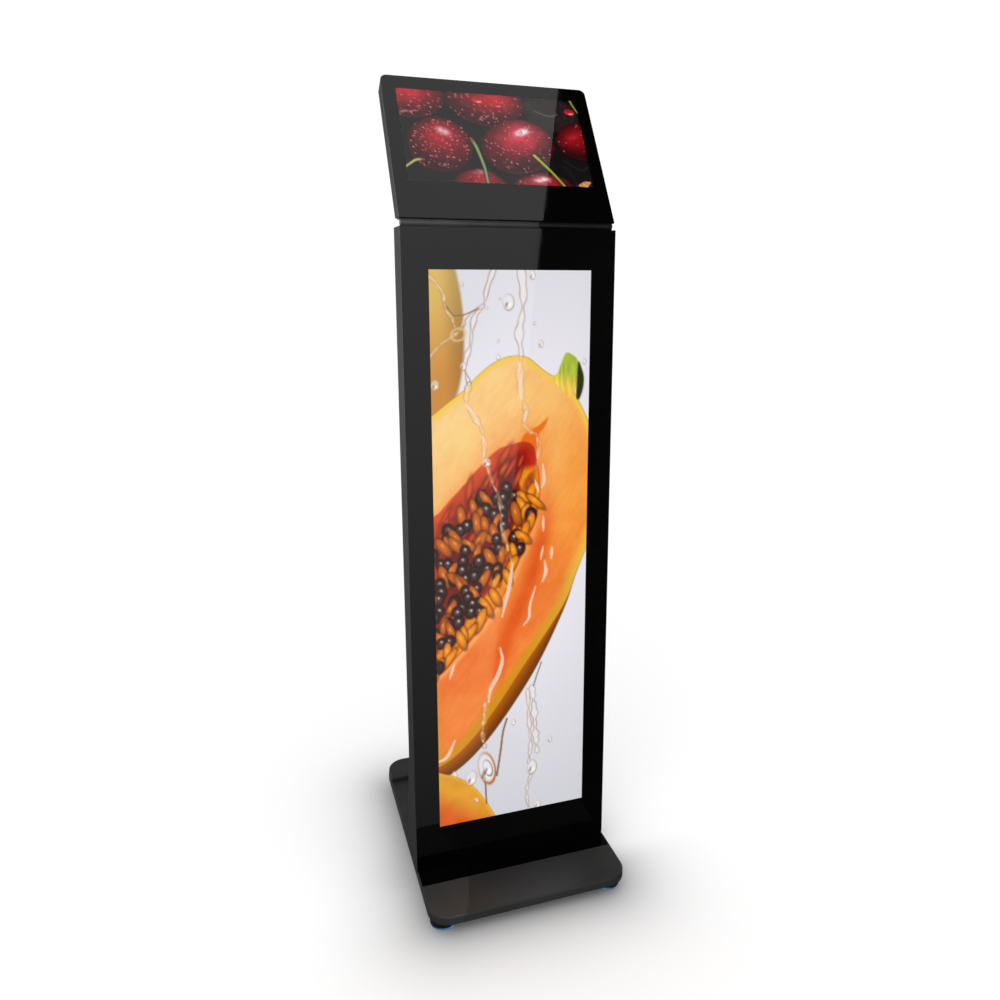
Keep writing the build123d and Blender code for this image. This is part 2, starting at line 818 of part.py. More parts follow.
def door_panel():
    z_span = (door_bottom, door_top)
    outer = slab(both(door_half), (door_inside, column_back), z_span)
    inner_z = (door_bottom + panel_sheet, door_top - panel_sheet)
    depth = (door_inside, column_back - panel_sheet)
    panel = outer - slab(both(door_half - panel_sheet), depth, inner_z)
    vent_x = door_half / 2
    low = door_bottom + hinge_inset
    high = door_top - hinge_inset - (louvre_count - 1) * louvre_pitch
    for x in (-vent_x, vent_x):
        for start in (low, high):
            for step in range(louvre_count):
                hood, mouth = louvre(x, start + step * louvre_pitch)
                panel = panel + hood - mouth
    for z in lock_places.values():
        start = (lock_x, door_inside, z)
        panel -= rod(lock_radius - lock_sleeve_step + hole_gap, start, (0, 1, 0), 2 * door_flange)
    return drilled(panel, moving_leaf_screws(), (0, 1, 0), 2 * door_flange, small_screw_radius)


def door_stiffener():
    inner = column_back - panel_sheet
    z_span = (door_bottom + hinge_inset / 2, door_top - hinge_inset / 2)
    body = slab(both(stiffener_width / 2), (door_inside, inner), z_span)
    web = stiffener_width / 2 - stiffener_side
    body -= slab(both(web), (door_inside + panel_sheet, inner), z_span)
    for side in (-1, 1):
        lip = (side * (web + panel_sheet), side * stiffener_width / 2)
        body -= slab(lip, (door_inside, inner - panel_sheet), z_span)
    return body


def hinge_segment(z_span, leaf_span):
    """Knuckle with the leaf that carries it."""
    low, high = z_span
    part = slab(leaf_span, (column_back, column_back + hinge_leaf), z_span)
    part += rod(hinge_knuckle_radius, (hinge_x, hinge_y, low), (0, 0, 1), high - low)
    return part


def hinge_parts(z, fixed):
    """One half of a door hinge: two outer knuckles when fixed, the middle one when moving."""
    half, third = hinge_height / 2, hinge_height / 6
    if fixed:
        leaf = (hinge_x - hinge_leaf_width / 2, hinge_x)
        spans = ((z - half, z - third), (z + third, z + half))
        barrel_gap = (z - third, z + third)
    else:
        leaf = (hinge_x, hinge_x + hinge_leaf_width)
        spans = ((z - third + seat_gap, z + third - seat_gap),)
        barrel_gap = None
    plate_gap = hinge_knuckle_radius + 2 * seat_gap
    edge = hinge_x - plate_gap if fixed else hinge_x + plate_gap
    outer = leaf[0] if fixed else leaf[1]
    plate = slab((min(edge, outer), max(edge, outer)), (column_back, column_back + hinge_leaf),
                 (z - half, z + half))
    for span in spans:
        plate += hinge_segment(span, leaf)
    if barrel_gap:
        start = (hinge_x, hinge_y, barrel_gap[0])
        plate -= rod(plate_gap, start, (0, 0, 1), barrel_gap[1] - barrel_gap[0])
    start = (hinge_x, hinge_y, z - half)
    bore = rod(hinge_pin_radius + running_gap, start, (0, 0, 1), hinge_height)
    places = fixed_leaf_screws() if fixed else moving_leaf_screws()
    return drilled(plate - bore, places, (0, 1, 0), hinge_leaf, small_screw_radius)


def hinge_pin(z):
    length = hinge_height - 2 * seat_gap
    start = (hinge_x, hinge_y, z - hinge_height / 2 + seat_gap)
    top = (hinge_x, hinge_y, z + hinge_height / 2)
    head = rod(hinge_pin_radius * 1.6, top, (0, 0, 1), pin_head)
    return rod(hinge_pin_radius, start, (0, 0, 1), length + seat_gap) + head


def lock_body(z):
    """Threaded sleeve of a cam lock with its round outer flange."""
    face = (lock_x, column_back, z)
    sleeve = rod(lock_radius - lock_sleeve_step, (lock_x, cam_back + seat_gap, z), (0, 1, 0),
                 column_back - cam_back - seat_gap)
    sleeve += rod(lock_radius + lock_sleeve_step, face, (0, 1, 0), lock_flange)
    depth = column_back - cam_back + lock_flange
    return sleeve - rod(lock_plug_radius + running_gap, (lock_x, cam_back, z), (0, 1, 0), depth)


def lock_cam(z):
    """Turning plug with the cam on its inner end; the cam hangs down when unlocked."""
    length = column_back + lock_flange - cam_back
    plug = rod(lock_plug_radius, (lock_x, cam_back, z), (0, 1, 0), length)
    outside = column_back + lock_flange
    key = face_block(lock_x, z, key_slot, (outside - key_depth, outside))
    arm_y = (cam_back - cam_thickness, cam_back)
    arm = slab((lock_x - cam_width / 2, lock_x + cam_width / 2), arm_y, (z - cam_length, z))
    arm += rod(cam_width / 2, (lock_x, cam_back - cam_thickness, z), (0, 1, 0), cam_thickness)
    return plug - key + arm


def lock_strikes():
    """Angles on the side panel that the cams turn behind."""
    strikes = []
    front = cam_back + 2 * seat_gap
    foot_y = (plate_front + tab_length + seat_gap, front + cabinet_sheet)
    for z in lock_places.values():
        z_span = (z - strike_reach, z + strike_reach)
        lip = slab((flange_edge, inner_half), (front, front + cabinet_sheet), z_span)
        strikes.append(lip + slab((inner_half - cabinet_sheet, inner_half), foot_y, z_span))
    return strikes


# ---------------------------------------------------------------- head, built upright and tilted back
def head_block(inset, y_span, bottom=0.0):
    """Upright slab with the rounded top corners of the head."""
    height = head_length - inset - bottom
    block = slab(both(half_width - inset), y_span, (bottom, bottom + height))
    corners = block.edges().filter_by(Axis.Y).group_by(Axis.Z)[-1]
    return fillet(corners, max(head_corner_radius - inset, cabinet_sheet))


def below_underside(offset):
    """Everything under the level underside of the head casing."""
    rise = offset / math.cos(math.radians(head_tilt))
    far = 2 * head_depth
    profile = Polyline((0, -far), (0, rise), (far, far * slope + rise), (far, -far), (0, -far))
    return extrude(Plane.YZ.offset(-column_width) * make_face(profile), 2 * column_width)


def head_glass():
    pane = head_block(0, (0, glass_thickness))
    return chamfer(pane.faces().sort_by(Axis.Y)[0].edges(), seat_gap)


def head_shell():
    shell = head_block(0, (glass_thickness, head_depth)) - below_underside(0)
    hollow = head_block(cabinet_sheet, (glass_thickness, head_depth - cabinet_sheet))
    shell -= hollow - below_underside(cabinet_sheet)
    lip = flat_frame(half_width - cabinet_sheet, (cabinet_sheet, head_length - cabinet_sheet),
                     flange_width, (glass_thickness, glass_thickness + cabinet_sheet))
    lip &= head_block(cabinet_sheet, (glass_thickness, head_depth))
    shell += lip - below_underside(0)
    window_z = (cover_margin_z + cover_lap, head_length - cover_top_margin - cover_lap)
    window_x = both(half_width - cover_margin_x - cover_lap)
    shell -= slab(window_x, (head_depth - cabinet_sheet, head_depth), window_z)
    hole = rod(grommet_radius - grommet_lip, (0, grommet_y, head_z), (0, 0, 1), 2 * cabinet_sheet)
    return head_frame * shell - hole


def head_back_cover():
    z_span = (cover_margin_z, head_length - cover_top_margin)
    cover = slab(both(half_width - cover_margin_x), (head_depth, head_depth + panel_sheet), z_span)
    cover = fillet(cover.edges().filter_by(Axis.Y), cover_corner_radius)
    slot = SlotOverall(*cover_slot_size)
    top = z_span[1] - cover_slot_drop
    outside = Plane.XZ.offset(-(head_depth + panel_sheet))
    for x in both(cover_slot_x):
        for step in range(cover_slot_count):
            cover -= extrude(outside * Pos(x, top - cover_slot_pitch * step) * slot, panel_sheet)
    return drilled(cover, cover_screws(), (0, 1, 0), panel_sheet)


def head_screen():
    reach = display_rim / 2
    y_span = (head_module_front - screen_plate, head_module_front)
    z_span = (head_screen_span[0] - reach, head_screen_span[1] + reach)
    return slab(both(head_screen_half + reach), y_span, z_span)


def head_gasket_frame():
    z_span = (head_screen_span[0] - display_rim, head_screen_span[1] + display_rim)
    border = display_rim / 2 - seat_gap
    return flat_frame(head_screen_half + display_rim, z_span, border,
                      (glass_thickness, head_module_front))


def touch_sensor_film():
    reach = display_rim / 2
    y_span = (glass_thickness, glass_thickness + touch_film)
    z_span = (head_screen_span[0] - reach, head_screen_span[1] + reach)
    return slab(both(head_screen_half + reach), y_span, z_span)


def head_display_module():
    z_span = (head_screen_span[0] - display_rim, head_screen_span[1] + display_rim)
    half = head_screen_half + display_rim
    body = slab(both(half), (head_module_front, head_module_back), z_span)
    return chamfer(body.faces().sort_by(Axis.Y)[-1].edges(), cabinet_sheet)


def head_display_brackets():
    brackets = []
    middle = sum(head_screen_span) / 2
    spread = (head_screen_span[1] - head_screen_span[0]) / 2 - rail_height
    edge = half_width - cabinet_sheet
    for side in (-1, 1):
        for z in (middle - spread, middle + spread):
            z_span = (z - tab_length / 2, z + tab_length / 2)
            strap_x = (side * (head_screen_half - rail_height), side * edge)
            strap_y = (head_module_back, head_module_back + cabinet_sheet)
            leg_y = (head_module_back - tab_length / 3, head_module_back + cabinet_sheet)
            leg_x = (side * (edge - cabinet_sheet), side * edge)
            brackets.append(slab(strap_x, strap_y, z_span) + slab(leg_x, leg_y, z_span))
    return brackets


def head_board(x, size, lift):
    """Board behind the head display, centred on x with its lower edge lifted off the border."""
    z = head_screen_span[0] + lift
    x_span = (x - size[0] / 2, x + size[0] / 2)
    return board(x_span, (z, z + size[1]), head_module_back, head_standoff_length)


def head_driver_board():
    return head_board(head_driver_x, head_driver_size, equipment_margin)


def touch_controller_board():
    return head_board(touch_board_x, touch_board_size, 2 * equipment_margin)


def knuckle_span():
    return (barrel_half + seat_gap, half_width - barrel_end_inset)


def head_knuckles():
    """Two end knuckles of the tilt hinge, on saddles under the head casing."""
    start, end = knuckle_span()
    knuckles = []
    for side in (-1, 1):
        spans = (side * start, side * end)
        knuckle = rod(barrel_radius, (side * start, axis_y, axis_z), (side, 0, 0), end - start)
        saddle_y = (axis_y - saddle_front, axis_y + saddle_depth)
        knuckle += slab(spans, saddle_y, (head_z - saddle_thickness, head_z))
        bore = rod(barrel_pin_radius + running_gap, (side * start, axis_y, axis_z), (side, 0, 0),
                   end - start - barrel_end_inset)
        knuckles.append(knuckle - bore)
    return knuckles


def hinge_barrel():
    """Fixed middle barrel of the tilt hinge, with the web that goes down into the column."""
    barrel = rod(barrel_radius, (-barrel_half, axis_y, axis_z), (1, 0, 0), 2 * barrel_half)
    web_half = barrel_half - 2 * seat_gap
    web_y = (axis_y - web_thickness / 2, axis_y + web_thickness / 2)
    barrel += slab(both(web_half), web_y, (axis_z - web_height, axis_z))
    bore = rod(barrel_pin_radius + running_gap / 2, (-barrel_half, axis_y, axis_z), (1, 0, 0),
               2 * barrel_half)
    return barrel - bore


def head_hinge_pins():
    _, end = knuckle_span()
    reach = end - barrel_end_inset - seat_gap
    inner = barrel_half - rail_height * 2
    return [
        rod(barrel_pin_radius, (side * inner, axis_y, axis_z), (side, 0, 0), reach - inner)
        for side in (-1, 1)
    ]


# ---------------------------------------------------------------- fasteners
def stand_fasteners():
    """Bolts and screws of the column, all in one group."""
    middle = (glass_back + column_back) / 2
    depth = 2 * pan_sheet + ballast_thickness
    fasteners = [screw((x, middle, tray_top), (0, 0, 1), depth, column_bolt_radius)
                 for x in column_bolt_places]
    for side in (-1, 1):
        for place in side_screws(side):
            fasteners.append(screw(place, (-side, 0, 0), cabinet_sheet))
        for place in rear_panel_screws(side):
            fasteners.append(screw(place, (0, 1, 0), cabinet_sheet + panel_sheet))
    for place in fixed_leaf_screws():
        depth = hinge_leaf + cabinet_sheet
        fasteners.append(screw(place, (0, 1, 0), depth, small_screw_radius))
    return fasteners


def door_screws():
    depth = hinge_leaf + panel_sheet
    return [screw(place, (0, 1, 0), depth, small_screw_radius) for place in moving_leaf_screws()]


def head_screws():
    return [head_frame * screw(place, (0, 1, 0), panel_sheet) for place in cover_screws()]


# ---------------------------------------------------------------- write the nodes
save("base_pan", base_pan())
save("base_ballast_plate", base_ballast_plate())
save("rear_weight_cover", rear_weight_cover())
save("rear_weight_bar", rear_weight_bar())
for place, (foot_x, foot_y) in foot_places.items():
    save(f"foot_{place}", *foot(foot_x, foot_y))
save("side_panel_left", side_panel(-1))
save("side_panel_right", side_panel(1))
save("column_floor_tray", column_floor_tray())
save("column_top_cap", column_top_cap())
save("cap_grommet", cap_grommet())
save("column_front_glass", column_front_glass())
save("lower_screen", lower_screen())
save("lower_display_gasket", lower_display_gasket())
save("lower_display_module", lower_display_module())
save("display_rails", *display_rails())
save("neck_rail", neck_rail())
save("equipment_plate", equipment_plate())
save("power_supply", power_supply())
save("media_player", media_player())
save("driver_board", driver_board())
save("mains_lead", mains_lead())
save("display_leads", *display_leads())
save("rear_top_panel", rear_top_panel())
save("rear_bottom_panel", rear_bottom_panel())
save("power_inlet", power_inlet())
save("switch_housing", switch_housing())
save("mains_rocker", mains_rocker())
save("speakers", *speakers())
save("fan_frames", *[fan_frame(x, z) for x, z in fan_places().values()])
for place, (fan_x, fan_z) in fan_places().items():
    save(f"fan_rotor_{place}", fan_rotor(fan_x, fan_z))
save("door_panel", door_panel())
save("door_stiffener", door_stiffener())
save("door_hinge_fixed_leaves", *[hinge_parts(z, True) for z in hinge_places])
save("door_hinge_moving_leaves", *[hinge_parts(z, False) for z in hinge_places])
save("door_screws", *door_screws())
save("door_hinge_pins", *[hinge_pin(z) for z in hinge_places])
save("lock_bodies", *[lock_body(z) for z in lock_places.values()])
for place, lock_z in lock_places.items():
    save(f"lock_cam_{place}", lock_cam(lock_z))
save("lock_strikes", *lock_strikes())
save("hinge_barrel", hinge_barrel())
save("head_hinge_pins", *head_hinge_pins())
save("head_knuckles", *head_knuckles())
save("head_glass", head_frame * head_glass())
save("touch_sensor_film", head_frame * touch_sensor_film())
save("head_gasket", head_frame * head_gasket_frame())
save("head_screen", head_frame * head_screen())
save("head_display_module", head_frame * head_display_module())
save("head_display_brackets", *[head_frame * bracket for bracket in head_display_brackets()])
save("head_driver_board", head_frame * head_driver_board())
save("touch_controller_board", head_frame * touch_controller_board())
save("head_shell", head_shell())
save("head_back_cover", head_frame * head_back_cover())
save("head_screws", *head_screws())
save("stand_fasteners", *stand_fasteners())
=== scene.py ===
import json
import math

import bpy
import numpy as np
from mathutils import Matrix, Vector


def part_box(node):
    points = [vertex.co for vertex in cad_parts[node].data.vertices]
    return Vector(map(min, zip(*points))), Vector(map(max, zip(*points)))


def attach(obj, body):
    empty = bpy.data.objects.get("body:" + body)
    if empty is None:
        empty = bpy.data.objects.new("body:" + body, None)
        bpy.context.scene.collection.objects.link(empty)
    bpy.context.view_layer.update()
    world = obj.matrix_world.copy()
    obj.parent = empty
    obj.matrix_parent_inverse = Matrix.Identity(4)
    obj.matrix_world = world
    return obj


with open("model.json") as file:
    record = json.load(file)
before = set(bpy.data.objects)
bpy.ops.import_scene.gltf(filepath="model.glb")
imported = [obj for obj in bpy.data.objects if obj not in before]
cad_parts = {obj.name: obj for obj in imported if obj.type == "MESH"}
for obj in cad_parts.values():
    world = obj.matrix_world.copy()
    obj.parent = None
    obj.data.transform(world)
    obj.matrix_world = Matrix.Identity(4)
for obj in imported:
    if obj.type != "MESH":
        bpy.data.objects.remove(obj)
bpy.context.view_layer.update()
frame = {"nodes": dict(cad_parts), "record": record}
SLOT_OF = {row["node"]: row["material_slot"] for row in frame["record"]["subparts"]}
MM = 0.001


# ---------------------------------------------------------------- node helpers
class Nodes:
    """A node tree. add() makes a node, sets its fields and sockets, and links sockets that are given one.
    A socket is named with _ for each space, or by its number, as in _0."""

    def __init__(self, tree):
        self.tree = tree

    def add(self, kind, fields=None, **sockets):
        node = self.tree.nodes.new("ShaderNode" + kind)
        for field, value in (fields or {}).items():
            setattr(node, field, value)
        for key, value in sockets.items():
            key = int(key[1:]) if key[0] == "_" else key.replace("_", " ")
            self.put(node.inputs[key], value)
        return node

    def put(self, socket, value):
        if isinstance(value, bpy.types.NodeSocket):
            self.tree.links.new(value, socket)
        else:
            socket.default_value = value

    def maths(self, operation, a, b=0.0):
        return self.add("Math", {"operation": operation}, _0=a, _1=b).outputs[0]

    def span(self, value, low, high, start=0.0, end=1.0):
        """A smooth change from start to end while value goes from low to high."""
        fields = {"interpolation_type": "SMOOTHSTEP"}
        sockets = {"Value": value, "From_Min": low, "From_Max": high, "To_Min": start, "To_Max": end}
        return self.add("MapRange", fields, **sockets).outputs["Result"]


class Look(Nodes):
    """A material, with its Principled shader and the place on the object in row-frame metres."""

    def __init__(self, name):
        self.material = bpy.data.materials.new(name)
        self.material.use_nodes = True
        super().__init__(self.material.node_tree)
        self.shader = self.tree.nodes["Principled BSDF"]
        self.output = self.tree.nodes["Material Output"]
        self.place = self.add("TexCoord").outputs["Object"]

    def set(self, **sockets):
        for key, value in sockets.items():
            self.put(self.shader.inputs[key.replace("_", " ")], value)

    def noise(self, scale, detail=4.0, roughness=0.55, stretch=None):
        vector = self.place
        if stretch:
            vector = self.add("Mapping", Vector=self.place, Scale=stretch).outputs[0]
        node = self.add("TexNoise", Vector=vector, Scale=scale, Detail=detail, Roughness=roughness)
        return node.outputs["Fac"]

    def mix(self, share, a, b):
        node = self.add("Mix", {"data_type": "RGBA"})
        for socket, value in zip((node.inputs[0], node.inputs[6], node.inputs[7]), (share, a, b)):
            self.put(socket, value)
        return node.outputs[2]

    def bump(self, height, distance, strength=1.0, normal=None):
        node = self.add("Bump", Height=height, Distance=distance, Strength=strength)
        if normal:
            self.put(node.inputs["Normal"], normal)
        return node.outputs[0]

    def rounded(self, radius):
        """(normal rounded over sharp edges, share of edge from 0 to 1)"""
        soft = self.add("Bevel", {"samples": 4}, Radius=radius).outputs[0]
        flat = self.add("NewGeometry").outputs["Normal"]
        dot = self.add("VectorMath", {"operation": "DOT_PRODUCT"}, _0=soft, _1=flat).outputs["Value"]
        return soft, self.span(dot, 0.985, 0.80)


WHITE = (1.0, 1.0, 1.0, 1.0)


def grey(level, warm=0.0):
    return (level * (1 + warm), level, level * (1 - warm), 1.0)


def lighter(colour, times):
    return [min(1.0, c * times) for c in colour[:3]] + [1.0]


# ---------------------------------------------------------------- finishes
def powder_coat(name, dark, light, roughness=0.42, wear=0.5, gloss_strip=None):
    """Textured powder coat. gloss_strip is (front y, back y, lowest z) of a strip left smooth and black."""
    look = Look(name)
    normal, edge = look.rounded(0.9 * MM)
    broad, fine = look.noise(6.0, 5.0), look.noise(900.0, 3.0)
    peel = look.add("TexVoronoi", {"feature": "SMOOTH_F1"}, Vector=look.place, Scale=620.0)
    scuff = look.noise(70.0, 6.0, 0.7, (1.0, 1.0, 0.12))
    colour = look.mix(look.span(broad, 0.35, 0.65), dark, light)
    rubbed = look.maths("MULTIPLY", edge, look.span(scuff, 0.40, 0.72, 0.0, wear))
    colour = look.mix(rubbed, colour, grey(light[1] * 3.2, 0.03))
    rough = look.maths("ADD", look.span(fine, 0.3, 0.7, roughness - 0.05, roughness + 0.05),
                       look.span(scuff, 0.55, 0.8, 0.0, 0.07))
    height = look.maths("ADD", peel.outputs["Distance"], look.maths("MULTIPLY", fine, 0.6))
    if gloss_strip:
        front, back, low = gloss_strip
        axes = look.add("SeparateXYZ", Vector=look.place)
        fade = 0.3 * MM
        satin = look.maths("MAXIMUM", look.span(axes.outputs["Y"], front + fade, front - fade),
                           look.maths("GREATER_THAN", axes.outputs["Y"], back))
        satin = look.maths("MAXIMUM", satin, look.maths("LESS_THAN", axes.outputs["Z"], low))
        gloss = look.mix(look.span(fine, 0.3, 0.7), grey(0.0006), grey(0.0012))
        gloss_rough = 0.08
        colour = look.mix(satin, gloss, colour)
        rough = look.maths("MULTIPLY", satin, look.maths("SUBTRACT", rough, gloss_rough))
        rough = look.maths("ADD", rough, gloss_rough)
        height = look.maths("MULTIPLY", height, look.span(satin, 0.0, 1.0, 0.05, 1.0))
    look.set(Base_Color=colour, Roughness=rough, Normal=look.bump(height, 0.12 * MM, 0.35, normal))
    look.set(Specular_IOR_Level=0.45)
    return look.material


def metal(name, dark, light, roughness, grain=(1.0, 1.0, 1.0), scale=40.0, bump=0.02):
    look = Look(name)
    normal, edge = look.rounded(0.3 * MM)
    broad, brushed = look.noise(scale, 5.0), look.noise(1400.0, 2.0, 0.5, grain)
    colour = look.mix(look.span(broad, 0.3, 0.7), dark, light)
    colour = look.mix(look.maths("MULTIPLY", edge, 0.5), colour, lighter(light, 1.35))
    rough = look.maths("ADD", look.span(broad, 0.3, 0.7, roughness - 0.05, roughness + 0.06),
                       look.span(brushed, 0.3, 0.7, -0.04, 0.04))
    look.set(Base_Color=colour, Roughness=rough, Metallic=1.0,
             Normal=look.bump(brushed, bump * MM, 0.5, normal))
    return look.material


def plastic(name, dark, light, roughness, scale=260.0, bump=0.05, specular=0.45):
    look = Look(name)
    normal, edge = look.rounded(0.4 * MM)
    broad, fine = look.noise(30.0, 3.0), look.noise(scale, 4.0)
    colour = look.mix(look.span(broad, 0.35, 0.65), dark, light)
    colour = look.mix(look.maths("MULTIPLY", edge, 0.4), colour, lighter(light, 1.9))
    look.set(Base_Color=colour, Roughness=look.span(fine, 0.3, 0.7, roughness - 0.06, roughness + 0.06),
             Normal=look.bump(fine, bump * MM, 0.5, normal), Specular_IOR_Level=specular)
    return look.material


def foot_rubber(name, dark, light):
    """Black rubber, painted blue and made glossier over its lowest edge."""
    look = Look(name)
    normal, _ = look.rounded(0.5 * MM)
    fine, broad = look.noise(500.0, 4.0), look.noise(30.0, 3.0)
    rise = look.add("SeparateXYZ", Vector=look.place).outputs["Z"]
    # Painted blue and glossier below 4.6 mm, fading to plain rubber by 5.6 mm.
    band_top, band_full = 5.6 * MM, 4.6 * MM
    blue_band = look.span(rise, band_top, band_full)
    rubber = look.mix(look.span(broad, 0.35, 0.65), dark, light)
    deep_blue, bright_blue = (0.01, 0.035, 0.30, 1), (0.08, 0.50, 0.90, 1)
    blue_tone = look.mix(look.span(look.noise(26.0, 3.0), 0.42, 0.60), deep_blue, bright_blue)
    colour = look.mix(look.maths("MULTIPLY", blue_band, look.span(broad, 0.30, 0.55, 0.55, 1.0)), rubber, blue_tone)
    rough = look.maths("SUBTRACT", look.span(fine, 0.3, 0.7, 0.50, 0.60), look.maths("MULTIPLY", blue_band, 0.35))
    look.set(Base_Color=colour, Roughness=rough, Normal=look.bump(fine, 0.1 * MM, 0.5, normal),
             Specular_IOR_Level=0.45)
    return look.material


def board_green(name):
    look = Look(name)
    flat = look.add("Mapping", Vector=look.place, Rotation=(math.radians(90), 0.0, 0.0)).outputs[0]
    tracks = look.add("TexBrick", {"offset": 0.35}, Vector=flat, Scale=140.0, Mortar_Size=0.06,
                      Color1=(0.010, 0.085, 0.035, 1), Color2=(0.014, 0.11, 0.045, 1),
                      Mortar=(0.03, 0.20, 0.075, 1))
    dots = look.add("TexVoronoi", Vector=look.place, Scale=210.0).outputs["Distance"]
    colour = look.mix(look.span(dots, 0.16, 0.12), tracks.outputs["Color"], (0.55, 0.50, 0.36, 1))
    look.set(Base_Color=colour, Roughness=look.span(dots, 0.1, 0.3, 0.25, 0.38),
             Normal=look.bump(tracks.outputs["Fac"], 0.05 * MM, 0.4))
    return look.material


def fresnel_pane(look, behind):
    """The front surface of a pane: a sharp reflection over what lies behind. From inside, it is clear."""
    facing = look.add("Fresnel", IOR=1.5).outputs[0]
    outside = look.maths("SUBTRACT", 1.0, look.add("NewGeometry").outputs["Backfacing"])
    share = look.maths("MULTIPLY", facing, outside)
    shine = look.add("BsdfGlossy", Color=WHITE, Roughness=0.006).outputs[0]
    return look.add("MixShader", _0=share, _1=behind, _2=shine).outputs[0]


def front_glass(name, window, up):
    """Cover glass printed black behind, with a clear window. window is (x0, x1, low, high) in metres, and up
    is the pane's own upward axis in the row frame."""
    look = Look(name)
    axes = look.add("SeparateXYZ", Vector=look.place)
    rise = look.add("VectorMath", {"operation": "DOT_PRODUCT"}, _0=look.place, _1=up).outputs["Value"]
    inside = 1.0
    for value, low, high in ((axes.outputs["X"], *window[:2]), (rise, *window[2:])):
        inside = look.maths("MULTIPLY", inside, look.maths("GREATER_THAN", value, low))
        inside = look.maths("MULTIPLY", inside, look.maths("LESS_THAN", value, high))
    back = look.add("NewGeometry").outputs["Backfacing"]
    clear = look.maths("MAXIMUM", inside, back)
    haze = look.noise(5.0, 4.0)
    smear = look.noise(55.0, 5.0, 0.65, (1.0, 1.0, 0.35))
    print_colour = look.mix(look.span(haze, 0.3, 0.7), grey(0.0006), grey(0.0013, 0.08))
    look.set(Base_Color=print_colour, Roughness=look.span(smear, 0.35, 0.75, 0.018, 0.05),
             Specular_IOR_Level=0.5)
    see = look.add("BsdfTransparent", Color=WHITE).outputs[0]
    pane = fresnel_pane(look, see)
    mixed = look.add("MixShader", _0=clear, _1=look.shader.outputs[0], _2=pane).outputs[0]
    look.put(look.output.inputs["Surface"], mixed)
    return look.material


def clear_film(name):
    look = Look(name)
    mottle = look.add("TexNoise", Vector=look.place, Scale=600.0).outputs["Fac"]
    tint = look.mix(look.span(mottle, 0.4, 0.6), (0.985, 0.985, 0.985, 1), (0.97, 0.97, 0.975, 1))
    look.put(look.output.inputs["Surface"], look.add("BsdfTransparent", Color=tint).outputs[0])
    return look.material


# ---------------------------------------------------------------- pictures on the two displays
def ramp(value, low, high):
    """A smooth rise from 0 to 1 while value goes from low to high."""
    share = np.clip((value - low) / (high - low), 0.0, 1.0)
    return share * share * (3.0 - 2.0 * share)


def rgb(*values):
    return np.array(values, float) / 255.0


def blend(first, second, share):
    """The first colour where share is 0, and the second where it is 1."""
    return first + (second - first) * share[..., None]


def shaded(colour, light):
    return colour * light[..., None]


def lattice(u, v, cell, seed):
    """Smooth noise from 0 to 1 with features of one cell."""
    x, y = u / cell, v / cell
    i, j = np.floor(x).astype(int), np.floor(y).astype(int)

    def dice(a, b):
        n = (a * 374761393 + b * 668265263 + seed * 974711) & 0x7FFFFFFF
        n = ((n ^ (n >> 13)) * 1274126177) & 0x7FFFFFFF
        return ((n ^ (n >> 16)) & 0xFFFF) / 65535.0

    s, t = ramp(x - i, 0, 1), ramp(y - j, 0, 1)
    top = dice(i, j) * (1 - s) + dice(i + 1, j) * s
    low = dice(i, j + 1) * (1 - s) + dice(i + 1, j + 1) * s
    return top * (1 - t) + low * t


def cloud(u, v, cell, seed):
    """Four layers of smooth noise, each half as large and half as strong as the last."""
    return sum(lattice(u, v, cell / 2**k, seed + k) * 0.5**k for k in range(4)) / 1.875


